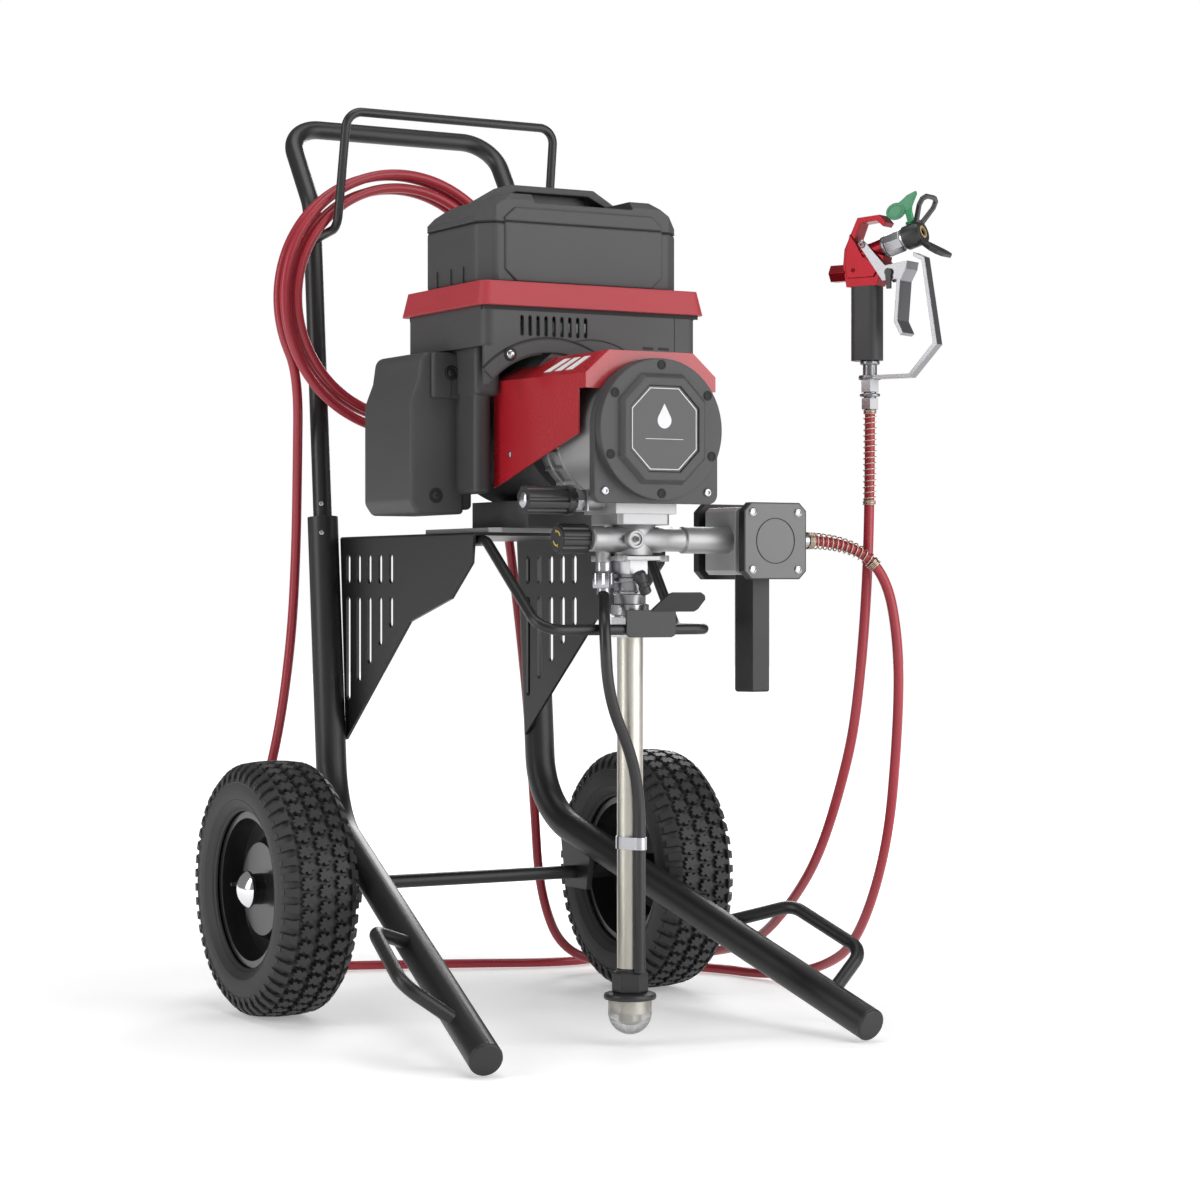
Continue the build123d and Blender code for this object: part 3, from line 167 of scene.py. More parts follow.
LOOKS = {
    "frame_black": surface("powder_coat", (0.009, 0.009, 0.010), 0.40, vary=0.1, grain=1400, bump=0.14,
                           soft=0.0008, wear_and_sheen=0.12),
    "rim_black": surface("rim_paint", (0.012, 0.012, 0.013), 0.3, grain=900, bump=0.05, soft=0.0015,
                         coat=0.3),
    "tyre": surface("tyre_rubber", (0.022, 0.022, 0.023), 0.56, vary=0.3, grain=700, bump=0.25,
                    rough_vary=0.12),
    "cap_plastic": surface("cap_plastic", (0.016, 0.016, 0.017), 0.4, grain=1600, bump=0.1, soft=0.002),
    "hub_chrome": surface("hub_chrome", (0.82, 0.82, 0.84), 0.12, 1.0, vary=0.04, grain=400, bump=0.02,
                          rough_vary=0.04),
    "housing_plastic": surface("housing_plastic", (0.042, 0.042, 0.044), 0.52, vary=0.07, grain=1900,
                               bump=0.32,
                               soft=0.0028, wear_and_sheen=0.10),
    "knob_plastic": surface("knob_plastic", (0.016, 0.016, 0.017), 0.38, grain=1700, bump=0.12,
                            soft=0.0008),
    "deck_red": surface("deck_plastic", (0.34, 0.024, 0.034), 0.5, vary=0.06, grain=1700, bump=0.25,
                        soft=0.003, wear_and_sheen=0.12, wear_and_sheen_colour=(0.7, 0.2, 0.22)),
    "shroud_red": surface("shroud_paint", (0.36, 0.010, 0.018), 0.26, vary=0.07, grain=500, bump=0.03,
                          soft=0.0012, coat=0.5, wear_and_sheen=0.2, wear_and_sheen_colour=(0.75, 0.25, 0.25)),
    "cast_aluminium": surface("cast_aluminium", (0.34, 0.34, 0.345), 0.42, 0.75, vary=0.08, grain=1200,
                              bump=0.22,
                              soft=0.0015),
    "plate_black": surface("plate_paint", (0.007, 0.007, 0.008), 0.46, grain=1100, bump=0.05, soft=0.0012),
    "screw_steel": surface("bright_steel", (0.40, 0.40, 0.42), 0.26, 1.0, vary=0.05, grain=600, bump=0.04,
                           soft=0.0005),
    "machined_steel": surface("turned_steel", (0.34, 0.34, 0.35), 0.34, 1.0, vary=0.06, grain=300,
                              bump=0.12,
                              brush=(0.2, 0.2, 8.0), soft=0.001),
    "suction_steel": surface("brushed_stainless", (0.50, 0.48, 0.43), 0.34, 1.0, vary=0.08, grain=260,
                             bump=0.25,
                             brush=(0.6, 0.6, 9.0), rough_vary=0.1),
    "strainer": surface("strainer_plastic", (0.018, 0.018, 0.019), 0.42, grain=1400, bump=0.12,
                        soft=0.0012),
    "motor_iron": surface("motor_iron", (0.20, 0.15, 0.10), 0.45, 0.8, grain=300, bump=0.3,
                          brush=(0.3, 9.0, 0.3)),
    "packing": surface("packing_leather", (0.40, 0.26, 0.14), 0.7, grain=500, bump=0.4),
    "filter_mesh": surface("filter_mesh", (0.55, 0.55, 0.53), 0.35, 1.0, grain=1500, bump=0.5),
    "board": surface("board_green", (0.02, 0.14, 0.05), 0.4, grain=900, bump=0.1),
    "cells": surface("cell_sleeve", (0.10, 0.22, 0.32), 0.35, grain=700, bump=0.05),
    "drain_black": surface("drain_hose", (0.012, 0.012, 0.012), 0.36, grain=900, bump=0.06),
    "hose_red": surface("hose_cover", (0.30, 0.012, 0.024), 0.42, vary=0.12, grain=900, bump=0.12,
                        coat=0.15),
    "gun_red": surface("gun_anodised", (0.19, 0.003, 0.008), 0.30, 0.75, vary=0.06, grain=700, bump=0.05,
                       soft=0.0012),
    "gun_steel": surface("gun_nickel", (0.24, 0.24, 0.25), 0.32, 1.0, vary=0.06, grain=700, bump=0.08,
                         soft=0.0008),
    "gun_rubber": surface("gun_grip_rubber", (0.028, 0.028, 0.030), 0.5, grain=900, bump=0.4, soft=0.002),
    "guard_black": surface("guard_plastic", (0.014, 0.014, 0.015), 0.38, grain=1500, bump=0.1, soft=0.001),
    "tip_green": surface("tip_plastic", (0.030, 0.24, 0.10), 0.36, vary=0.1, grain=1200, bump=0.1,
                         soft=0.0012),
}
spring_steel = surface("spring_wire", (0.46, 0.38, 0.30), 0.25, 1.0, vary=0.12, grain=800, bump=0.05)
badge_face = surface("badge_face", (0.050, 0.050, 0.053), 0.42, grain=1600, bump=0.05)
badge_line = surface("badge_line", (0.62, 0.62, 0.63), 0.3, grain=900, bump=0.03)
decal_white = surface("decal_white", (0.78, 0.78, 0.77), 0.35, grain=900, bump=0.03)
mark_yellow = surface("mark_yellow", (0.75, 0.50, 0.06), 0.45, grain=900, bump=0.03)
# Flat black sheets laid in seams, slots, recesses and screw sockets as painted shade.
painted_shade_black = surface("shadow_black", (0.006, 0.006, 0.006), 0.7, grain=900, bump=0.05)
plate_grey = surface("plate_face", (0.115, 0.115, 0.118), 0.42, grain=1500, bump=0.08)
filter_metal = surface("filter_metal", (0.42, 0.42, 0.425), 0.45, 0.35, vary=0.08, grain=1200, bump=0.2)
seal_brass = surface("seal_brass", (0.62, 0.44, 0.22), 0.35, 0.6, grain=900, bump=0.05)
mesh_steel = surface("mesh_wire", (0.60, 0.60, 0.60), 0.3, 1.0, grain=900, bump=0.05)

for entry in frame["record"]["subparts"]:
    cad = bpy.data.objects.get(entry["node"])
    if cad is not None:
        cad.data.materials.clear()
        cad.data.materials.append(LOOKS[entry["material_slot"]])


# ---------------------------------------------------------------- piece helpers
def place(name, mesh, look, body="cart", smooth=35.0):
    """A new piece with its finish, riding on a body."""
    piece = bpy.data.objects.new(name, mesh)
    bpy.context.scene.collection.objects.link(piece)
    mesh.materials.append(LOOKS[look] if isinstance(look, str) else look)
    mesh.polygons.foreach_set("use_smooth", [True] * len(mesh.polygons))
    if smooth:
        mesh.set_sharp_from_angle(angle=radians(smooth))
    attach(piece, body)
    return piece


def finished(bm, name, look, body="cart", smooth=35.0):
    bmesh.ops.recalc_face_normals(bm, faces=bm.faces)
    mesh = bpy.data.meshes.new(name)
    bm.to_mesh(mesh)
    bm.free()
    return place(name, mesh, look, body, smooth)


def rounded(piece, width, segments=2, angle=30.0):
    """Rounds the sharp edges of a piece."""
    bevel = piece.modifiers.new("rounded", "BEVEL")
    bevel.width = width
    bevel.segments = segments
    bevel.limit_method = "ANGLE"
    bevel.angle_limit = radians(angle)
    bevel.harden_normals = True
    return piece


def across(axis):
    """Two directions square to an axis."""
    helper = UP if abs(axis.dot(UP)) < 0.9 else Vector((1, 0, 0))
    right = helper.cross(axis).normalized()
    return right, axis.cross(right).normalized()


def turn(bm, profile, centre, axis, steps=48):
    """Adds a turned shape: (radius, distance along the axis) pairs, millimetres."""
    axis = Vector(axis).normalized()
    right, up = across(axis)
    rings = []
    for radius, along in profile:
        start = centre + axis * along * mm
        if radius < 1e-6:
            rings.append([bm.verts.new(start)])
            continue
        rings.append([
            bm.verts.new(start + (right * cos(2 * pi * i / steps)
                                  + up * sin(2 * pi * i / steps)) * radius * mm)
            for i in range(steps)
        ])
    for one, two in zip(rings, rings[1:]):
        for i in range(steps):
            a, b = one[i % len(one)], one[(i + 1) % len(one)]
            c, d = two[(i + 1) % len(two)], two[i % len(two)]
            corners = list(dict.fromkeys((a, b, c, d)))
            if len(corners) > 2:
                bm.faces.new(corners)
    return rings


def slab(bm, outline, origin, right, up, depth):
    """Adds a prism: outline of (right, up) millimetre pairs, pushed depth along right x up."""
    right, up = Vector(right).normalized(), Vector(up).normalized()
    away = right.cross(up) * depth * mm
    low = [bm.verts.new(origin + (right * a + up * b) * mm) for a, b in outline]
    high = [bm.verts.new(v.co + away) for v in low]
    bm.faces.new(low[::-1])
    bm.faces.new(high)
    for i in range(len(low)):
        j = (i + 1) % len(low)
        bm.faces.new((low[i], low[j], high[j], high[i]))


def ring_slab(bm, outer, inner, origin, right, up, depth):
    """Adds a flat frame between two outlines with the same number of corners."""
    right, up = Vector(right).normalized(), Vector(up).normalized()
    away = right.cross(up) * depth * mm
    loops = []
    for outline in (outer, inner):
        low = [bm.verts.new(origin + (right * a + up * b) * mm) for a, b in outline]
        loops.append((low, [bm.verts.new(v.co + away) for v in low]))
    (out_low, out_high), (in_low, in_high) = loops
    for i in range(len(out_low)):
        j = (i + 1) % len(out_low)
        bm.faces.new((out_low[i], out_low[j], out_high[j], out_high[i]))
        bm.faces.new((in_low[j], in_low[i], in_high[i], in_high[j]))
        bm.faces.new((out_high[i], out_high[j], in_high[j], in_high[i]))
        bm.faces.new((out_low[j], out_low[i], in_low[i], in_low[j]))


def hex_profile(bm, centre, axis, flat, height, chamfer=0.8):
    """Adds a hexagon nut or head with chamfered corners, flat to flat in millimetres."""
    corner = flat / sqrt(3)
    profile = [(0, 0), (corner * 0.94, 0), (corner, chamfer), (corner, height - chamfer),
               (corner * 0.94, height), (0, height)]
    turn(bm, profile, centre, axis, steps=6)


def socket_screw(bm, centre, axis, radius=4.0, height=2.2):
    """Adds a button-head screw with a hexagon socket."""
    profile = [(radius, 0), (radius, height * 0.35), (radius * 0.86, height * 0.8), (radius * 0.6, height),
               (radius * 0.46, height), (radius * 0.44, height * 0.25), (0, height * 0.2)]
    turn(bm, profile, centre, axis, steps=18)


# ---------------------------------------------------------------- hose
outlet = (256.0, -437.0, 612.6)
supply_route = [
    outlet,
    (314.0, -437.0, 612.6),
    (361.0, -460.0, 574.0),
    (380.0, -462.0, 480.0),
    (388.0, -448.0, 370.0),
    (413.0, -390.0, 214.0),
    (449.0, -270.0, 79.0),
    (474.0, -150.0, 30.0),
    (464.0, -33.0, 7.0),
    (432.0, 85.0, 8.0),
    (350.0, 172.0, 7.0),
    (252.0, 186.0, 25.0),
    (198.0, 160.0, 118.0),
    (184.0, 150.0, 253.0),
    (172.0, 152.0, 420.0),
    (148.0, 150.0, 600.0),
    (108.0, 120.0, 740.0),
]
gun_route = [
    (-188.0, 132.0, 710.0),
    (-184.0, 146.0, 600.0),
    (-189.0, 150.0, 482.0),
    (-208.0, 152.0, 347.0),
    (-228.0, 190.0, 220.0),
    (-215.0, 280.0, 80.0),
    (-140.0, 365.0, 12.0),
    (-10.0, 360.0, 7.0),
    (150.0, 290.0, 8.0),
    (285.0, 235.0, 7.0),
    (375.0, 262.0, 8.0),
    (455.0, 225.0, 7.0),
    (475.0, 100.0, 28.0),
    (427.0, -60.0, 62.0),
    (393.0, -200.0, 132.0),
    (365.0, -310.0, 210.0),
    (348.0, -395.0, 333.0),
    (346.0, -420.0, 411.0),
    (350.0, -433.0, 538.0),
    (353.0, -436.0, 672.0),
    (353.0, -436.0, 780.0),
]
coil_centre = (-55.0, 91.5, 940.0)
lanes = [(176.5, 10.5), (157.5, 10.5), (157.5, -10.5), (176.5, -10.5), (176.5, 10.5)]
coil_route = []
for step in range(0, 70):
    angle = -45.0 + 20.0 * step
    if angle > 226.0 + 1080.0:
        break
    done = (angle + 45.0) / 360.0
    lane = min(int(done), 3)
    share = min((done - lane) * 360.0 / 60.0, 1.0)
    radius = lanes[lane][0] + (lanes[lane + 1][0] - lanes[lane][0]) * share
    shift = lanes[lane][1] + (lanes[lane + 1][1] - lanes[lane][1]) * share
    coil_route.append((
        coil_centre[0] + radius * cos(radians(angle)),
        coil_centre[1] + shift,
        coil_centre[2] + radius * sin(radians(angle)),
    ))
hose_curve = bpy.data.curves.new("hose", "CURVE")
hose_curve.dimensions = "3D"
hose_curve.resolution_u = 14
route = supply_route + coil_route + gun_route
spline = hose_curve.splines.new("NURBS")
spline.points.add(len(route) - 1)
for point, place_at in zip(spline.points, route):
    point.co = (*p(*place_at), 1)
spline.order_u = 3
spline.use_endpoint_u = True
hose = bpy.data.objects.new("hose", hose_curve)
bpy.context.scene.collection.objects.link(hose)
bpy.context.view_layer.update()
line_mesh = bpy.data.meshes.new_from_object(hose.evaluated_get(bpy.context.evaluated_depsgraph_get()))
line = [v.co.copy() for v in line_mesh.vertices]
hose_curve.bevel_depth = 6.5 * mm
hose_curve.bevel_resolution = 5
hose_curve.use_fill_caps = True
hose_curve.materials.append(LOOKS["hose_red"])
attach(hose, "cart")
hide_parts("hose_supply", "hose_gun", "hose_coil")


def spring(name, points, near, far, turns, wire, tight):
    """Wire spring round the hose: near and far radii, closed turns at both ends."""
    lengths = [0.0]
    for a, b in zip(points, points[1:]):
        lengths.append(lengths[-1] + (b - a).length)
    reach = lengths[-1]

    def at(distance):
        for i in range(1, len(points)):
            if lengths[i] >= distance:
                share = (distance - lengths[i - 1]) / (lengths[i] - lengths[i - 1])
                return points[i - 1].lerp(points[i], share), (points[i] - points[i - 1]).normalized()
        return points[-1], (points[-1] - points[-2]).normalized()

    total = turns + 2 * tight
    closed = tight * wire * 2.1 * mm
    curve = bpy.data.curves.new(name, "CURVE")
    curve.dimensions = "3D"
    curve.bevel_depth = wire * mm
    curve.bevel_resolution = 3
    curve.materials.append(spring_steel)
    strand = curve.splines.new("NURBS")
    count = total * 12
    strand.points.add(count)
    side = None
    for i in range(count + 1):
        turned = i / 12
        if turned < tight:
            distance = closed * turned / tight
        elif turned > tight + turns:
            distance = reach - closed * (total - turned) / tight
        else:
            distance = closed + (reach - 2 * closed) * (turned - tight) / turns
        centre, ahead = at(min(max(distance, 0.0), reach))
        if side is None:
            side = across(ahead)[0]
        side = (side - ahead * side.dot(ahead)).normalized()
        other = ahead.cross(side)
        radius = (near + (far - near) * distance / reach) * mm
        spot = centre + (side * cos(2 * pi * turned) + other * sin(2 * pi * turned)) * radius
        strand.points[i].co = (*spot, 1)
    strand.order_u = 3
    strand.use_endpoint_u = True
    piece = bpy.data.objects.new(name, curve)
    bpy.context.scene.collection.objects.link(piece)
    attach(piece, "cart")
    return piece


def stretch_of(points, reach):
    """The first part of a line of points, up to a distance in metres."""
    kept, gone = [points[0]], 0.0
    for a, b in zip(points, points[1:]):
        gone += (b - a).length
        kept.append(b)
        if gone > reach:
            break
    return kept


outlet_spring = spring("outlet_spring", stretch_of(line, 0.100), 10.4, 8.2, 12, 0.95, 4)
gun_spring = spring("gun_spring", stretch_of(line[::-1], 0.112), 8.0, 7.9, 15, 0.9, 3)

# ---------------------------------------------------------------- wheels
wheel_r = 165.0
wheel_x = 277.6


def crown(x):
    """Tread surface radius at a distance from the wheel's middle plane."""
    away = abs(x)
    if away < 34.0:
        return wheel_r - 2.5 * (away / 34.0) ** 2
    return wheel_r - 2.5 - 13.0 * ((away - 34.0) / 17.0) ** 2


def tread_block(bm, outline, x0, angle0, depth, lean=0.88):
    """Adds one block: outline in (across, around) millimetres, narrowing a little to its top."""
    top, low = [], []
    for x, s in outline:
        for store, scale, sink in ((top, lean, 0.0), (low, 1.0, depth)):
            xx = x0 + x * scale
            radius = crown(xx) - sink
            angle = angle0 + s * scale / wheel_r
            store.append(bm.verts.new((xx * mm, -radius * sin(angle) * mm, radius * cos(angle) * mm)))
    bm.faces.new(top)
    bm.faces.new(low[::-1])
    for i in range(len(top)):
        j = (i + 1) % len(top)
        bm.faces.new((low[i], low[j], top[j], top[i]))


def tyre(side):
    name = "tyre_left" if side < 0 else "tyre_right"
    body = "wheel_left" if side < 0 else "wheel_right"
    bm = bmesh.new()
    half = [(0, 158.8), (20, 158.2), (34, 156.8), (43, 153.0), (47.5, 147.5), (49.6, 143.0), (50.6, 141.5),
            (50.9, 138.5), (50.4, 137.6), (51.2, 130), (51.2, 122), (50.3, 116.5), (50.6, 115.8),
            (49.9, 114.6),
            (49.2, 113.8), (46.5, 108), (43.6, 104.4), (42.6, 104.0), (41.0, 101.6), (38.6, 100.9)]
    profile = [(r, -x) for x, r in half[::-1]] + [(r, x) for x, r in half[1:]]
    turn(bm, profile, Vector((0, 0, 0)), (1, 0, 0), steps=120)
    rows = 50
    star = []
    for k, (a, s) in enumerate([
        (10.6, -2.6), (10.6, 3.4), (5.2, 3.6), (6.4, 8.8), (0.6, 9.2), (-1.8, 5.0), (-6.6, 8.4),
        (-10.4, 4.2),
        (-7.2, 1.0), (-10.6, -3.6), (-5.0, -4.2), (-6.2, -9.0), (-0.4, -9.2), (1.8, -5.0), (6.8, -8.2),
    ]):
        star.append((a, s))
    for i in range(rows):
        base = 2 * pi * i / rows
        for column, x0 in enumerate((-23.2, 0.0, 23.2)):
            shift = 0.0 if column % 2 else pi / rows
            tread_block(bm, star, x0, base + shift, 5.6)
        for edge in (-1, 1):
            lug = [(-6.5, -7.0), (-1.0, -5.4), (8.5, -5.8), (8.5, 5.8), (-1.0, 5.4), (-6.5, 7.0)]
            outline = [(edge * a, s) for a, s in lug]
            tread_block(bm, outline, edge * 42.2, base, 4.4, 0.92)
            rib = []
            for x, r, s in ((51.0, 148.5, -4.6), (51.0, 148.5, 4.6), (51.9, 139.5, 3.6),
                            (51.9, 139.5, -3.6)):
                rib.append((edge * x, r, base + s / wheel_r))
            outer = [bm.verts.new((x * mm, -r * sin(a) * mm, r * cos(a) * mm)) for x, r, a in rib]
            under = [bm.verts.new(((x - edge * 4) * mm, -(r - 1.5) * sin(a) * mm, (r - 1.5) * cos(a) * mm))
                     for x, r, a in rib]
            bm.faces.new(outer)
            for k in range(4):
                bm.faces.new((outer[k], outer[(k + 1) % 4], under[(k + 1) % 4], under[k]))
    bmesh.ops.translate(bm, vec=p(side * wheel_x, 0, wheel_r), verts=bm.verts)
    piece = finished(bm, name + "_tread", "tyre", body, smooth=32.0)
    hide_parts(name)
    valve = bmesh.new()
    turn(valve, [(0, 20), (2.4, 20), (2.6, 14), (3.6, 12), (3.6, 2), (5.0, 0)],
         p(side * (wheel_x + 12.0), 70.0, wheel_r), (side, 0, 0), 16)
    finished(valve, name + "_valve", "tyre", body)


for side in (-1, 1):
    tyre(side)

bm = bmesh.new()
for side in (-1, 1):
    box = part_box("hub_caps")
    outer = box[0] if side < 0 else box[1]
    tip = abs(outer[0]) / mm
    dome = [(24.0, -15.0), (24.0, -11.5), (23.2, -10.4), (20.5, -8.0), (16.5, -4.6), (11.0, -1.9),
            (5.5, -0.5), (0, 0)]
    turn(bm, dome, p(side * tip, 0, wheel_r), (side, 0, 0), 48)
hub = finished(bm, "hub_domes", "hub_chrome")
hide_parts("hub_caps")

# ---------------------------------------------------------------- suction foot
foot_at = p(0, -437.0, 0)
bm = bmesh.new()
hex_profile(bm, foot_at + p(0, 0, 64), (0, 0, 1), 38.0, 25.0, 1.6)
turn(bm, [(15, 64), (27, 64), (31, 62.5), (32, 60.5), (32, 57.5), (31, 56), (26, 55), (15, 55)], foot_at,
     (0, 0, 1), 56)
turn(bm, [(16.5, 89), (17.0, 92), (15.8, 93.5), (15.8, 89)], foot_at, (0, 0, 1), 40)
foot = finished(bm, "strainer_collar", "strainer")
bm = bmesh.new()
dome = [(26.3, 55.5)] + [(26.3 * cos(radians(a)), 39.5 - 26.3 * sin(radians(a))) for a in range(0, 88, 4)]
turn(bm, dome, foot_at, (0, 0, 1), 90)
mesh = finished(bm, "strainer_mesh", mesh_steel)
wires = mesh.modifiers.new("wires", "WIREFRAME")
wires.thickness = 0.42 * mm
wires.use_even_offset = False
bm = bmesh.new()
turn(bm, [(14, 88), (14, 30), (11, 26), (4, 24), (0, 24)], foot_at, (0, 0, 1), 32)
turn(bm, [(25.0, 56), (25.0, 39.5)], foot_at, (0, 0, 1), 32)
core = finished(bm, "strainer_core", "suction_steel")
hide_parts("suction_strainer")

# ---------------------------------------------------------------- gear cover
gear_z = 742.0
RIGHT = Vector((1, 0, 0))


def cut_box(half_wide, half_high, cut):
    """Eight-sided outline: a rectangle with its corners cut off."""
    return [
        (half_wide, -half_high + cut), (half_wide, half_high - cut), (half_wide - cut, half_high),
        (cut - half_wide, half_high), (-half_wide, half_high - cut), (-half_wide, cut - half_high),
        (cut - half_wide, -half_high), (half_wide - cut, -half_high),
    ]


badge_at = p(0, -516.8, gear_z)
bm = bmesh.new()
slab(bm, cut_box(46.6, 50.6, 25.6), badge_at, RIGHT, UP, 1.5)
badge = rounded(finished(bm, "badge_plate", badge_face), 0.0004)
bm = bmesh.new()
face = badge_at + p(0, -1.4, 0)
ring_slab(bm, cut_box(44.4, 48.4, 24.6), cut_box(43.5, 47.5, 24.3), face, RIGHT, UP, 0.3)
drop = [(0, 30)] + [(9.5 * sin(radians(a)), 10.0 - 9.5 * cos(radians(a))) for a in range(120, -121, -12)]
slab(bm, drop[::-1], face, RIGHT, UP, 0.3)
slab(bm, [(-26, -12.4), (26, -12.4), (26, -11.8), (-26, -11.8)], face, RIGHT, UP, 0.3)
mark = finished(bm, "badge_outline", badge_line)

# Dark discs round the cover screws: painted shade in their sockets.
bm = bmesh.new()
for around in (-90, -24, 33, 90, 147, 204):
    spot = p(76.5 * cos(radians(around)), -511.8, gear_z + 76.5 * sin(radians(around)))
    turn(bm, [(5.8, -1.5), (5.8, 0.9), (5.2, 1.3), (3.6, 1.3), (3.2, 0.8), (0, 0.8)], spot, FRONT, 28)
sockets = finished(bm, "cover_sockets", painted_shade_black)
bm = bmesh.new()
for side in (-1, 1):
    socket_screw(bm, p(side * 71.0, -500.0, 668.0), FRONT, 5.2, 2.6)
corner_screws = finished(bm, "cover_corner_screws", "screw_steel")
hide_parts("cover_screws")

# ---------------------------------------------------------------- battery
pack_front, pack_back, seam_z = -323.0, -153.0, 1003.0


def plan_outline(half, front, back, cut):
    return [
        (-half + cut, front), (half - cut, front), (half, front + cut), (half, back - cut),
        (half - cut, back), (-half + cut, back), (-half, back - cut), (-half, front + cut),
    ]


bm = bmesh.new()
slab(bm, plan_outline(142.9, pack_front - 0.9, pack_back + 0.9, 19.0), p(0, 0, 927.2), RIGHT, (0, 1, 0),
     seam_z - 928.0)
case = rounded(finished(bm, "battery_shell", "housing_plastic", "battery"), 0.005, 4)
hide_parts("battery_case")
# The seam line is a thin strip of painted shade.
bm = bmesh.new()
slab(bm, plan_outline(142.2, pack_front - 0.3, pack_back + 0.3, 18.4), p(0, 0, seam_z - 1.2), RIGHT,
     (0, 1, 0), 1.5)
groove = finished(bm, "battery_seam", painted_shade_black, "battery")
# Raised panel on the front, in two halves that meet at the seam.
panel_low = [(-112, seam_z - 0.6), (-112, 944), (-96, 929.5), (96, 929.5), (112, 944), (112, seam_z - 0.6)]
panel_high = [(-112, seam_z + 0.6), (112, seam_z + 0.6), (112, 1008), (97, 1021), (-97, 1021), (-112, 1008)]
bm = bmesh.new()
slab(bm, panel_low, p(0, pack_front + 1.0, 0), RIGHT, UP, 4.2)
slab(bm, panel_high, p(0, pack_front + 1.0, 0), RIGHT, UP, 4.2)
panel = rounded(finished(bm, "battery_panel", "housing_plastic", "battery"), 0.0022, 3)
bm = bmesh.new()
for y in (-201.6, -274.0, -240.0):
    slab(bm, [(-1.2, 927.5), (1.2, 927.5), (1.2, 950), (-1.2, 944)], p(-141.5, y, 0), (0, -1, 0), UP, 3.4)
for side in (-1, 1):
    turn(bm, [(0, 0), (4.2, 0), (4.2, 1.0), (0, 1.1)], p(side * 118.0, pack_front + 0.2, 936.0), FRONT, 20)
for x in range(-60, 61, 20):
    slab(bm, [(x - 6, 935), (x + 6, 935), (x + 6, 938), (x - 6, 938)], p(0, pack_back - 0.8, 0), (-1, 0, 0),
         UP, 1.2)
ribs = finished(bm, "battery_ribs", "housing_plastic", "battery")
# The wall behind the grip uses the darker knob plastic as painted shade for the shadow on it.
bm = bmesh.new()
slab(bm, [(-66, 1037), (66, 1037), (54, 1060), (-54, 1060)], p(0, -212, 0), RIGHT, UP, 8.0)
grip_back = rounded(finished(bm, "battery_grip_back", "knob_plastic", "battery"), 0.002, 2)

# ---------------------------------------------------------------- power unit housing
wall_y = -346.0
bm = bmesh.new()


def arc_band(bm, centre, inner, outer, start, stop, y, depth, steps=40):
    """Adds a flat curved band on a front wall."""
    path = [radians(start + (stop - start) * i / steps) for i in range(steps + 1)]
    outline = [(centre[0] + outer * cos(a), centre[1] + outer * sin(a)) for a in path]
    outline += [(centre[0] + inner * cos(a), centre[1] + inner * sin(a)) for a in path[::-1]]
    slab(bm, outline, p(0, y, 0), RIGHT, UP, depth)


arc_band(bm, (-59.0, 728.0), 113.5, 130.5, 136.0, 62.0, wall_y + 0.5, 3.0)
arch = rounded(finished(bm, "motor_arch", "housing_plastic"), 0.0014, 3)
# Dark lines beside the arch, slots, panel lines, the bolt recess and the band under the deck: all painted
# shade.
bm = bmesh.new()
arc_band(bm, (-59.0, 728.0), 131.2, 133.2, 136.0, 62.0, wall_y + 0.4, 0.7)
for x in (79.0, 101.5):
    slab(bm, [(x - 7.5, 851.2), (x + 7.5, 851.2), (x + 7.5, 854.4), (x - 7.5, 854.4)],
         p(0, wall_y + 0.4, 0), RIGHT, UP, 0.8)
slab(bm, [(117.2, 849), (118.2, 849), (118.2, 893), (117.2, 893)], p(0, wall_y + 0.4, 0), RIGHT, UP, 0.6)
for side in (-1, 1):
    slab(bm, [(-0.5, 849), (0.5, 849), (0.5, 893), (-0.5, 893)], p(side * 150.6, -176.0, 0), (0, -side, 0),
         UP, 0.7)
turn(bm, [(0, 0), (8.4, 0), (8.4, 1.2), (7.0, 1.6), (0, 1.6)], p(-117.0, wall_y - 2.2, 837.6), FRONT, 32)
shade_band_low, shade_band_high = 891.8, 897.2
band = [(-151.6, shade_band_low), (151.6, shade_band_low), (151.6, shade_band_high), (-151.6, shade_band_high)]
slab(bm, band, p(0, wall_y + 0.4, 0), RIGHT, UP, 0.7)
band = [(-100, shade_band_low), (100, shade_band_low), (100, shade_band_high), (-100, shade_band_high)]
for side in (-1, 1):
    slab(bm, band, p(side * 150.7, -238.0, 0), (0, -side, 0), UP, 0.6)
lines = finished(bm, "housing_painted_shade", painted_shade_black)
bm = bmesh.new()
turn(bm, [(6.2, 0), (6.2, 1.4), (5.6, 2.6), (4.2, 4.0), (2.2, 4.9), (0, 5.1)],
     p(-117.0, wall_y - 3.4, 837.6), FRONT, 30)
dome_bolt = finished(bm, "arch_bolt", "screw_steel")
# Moulded side box: sloped outer shoulder, rounded corners and a raised head block. Its screw
# pockets are drawn as shallow discs of painted shade.
box_low, box_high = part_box("side_box")
left, base, top_z = box_low[0] / mm, box_low[2] / mm, box_high[2] / mm
front_y, deep = box_low[1] / mm, (box_high[1] - box_low[1]) / mm
shell_outline = [
    (left, base + 14), (left + 10, base), (left + 74, base), (left + 74, top_z),
    (left + 22, top_z), (left + 15, top_z - 7), (left + 11, top_z - 34), (left, top_z - 62),
]
bm = bmesh.new()
slab(bm, shell_outline, p(0, front_y, 0), RIGHT, UP, -deep)
box_shell = rounded(finished(bm, "side_box_shell", "housing_plastic"), 0.010, 5)
bm = bmesh.new()
slab(bm, [(left + 60, base + 6), (left + 90, base + 6), (left + 90, top_z - 4), (left + 60, top_z - 4)],
     p(0, front_y + 8, 0), RIGHT, UP, 8 - deep)
box_side = rounded(finished(bm, "side_box_edge", "housing_plastic"), 0.006, 4)
for piece in (box_shell, box_side):
    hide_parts("side_box")
bm = bmesh.new()
slab(bm, [(-142, -306), (-112, -306), (-104, -296), (-104, -200), (-142, -200)], p(0, 0, 790), RIGHT,
     (0, 1, 0), 64)
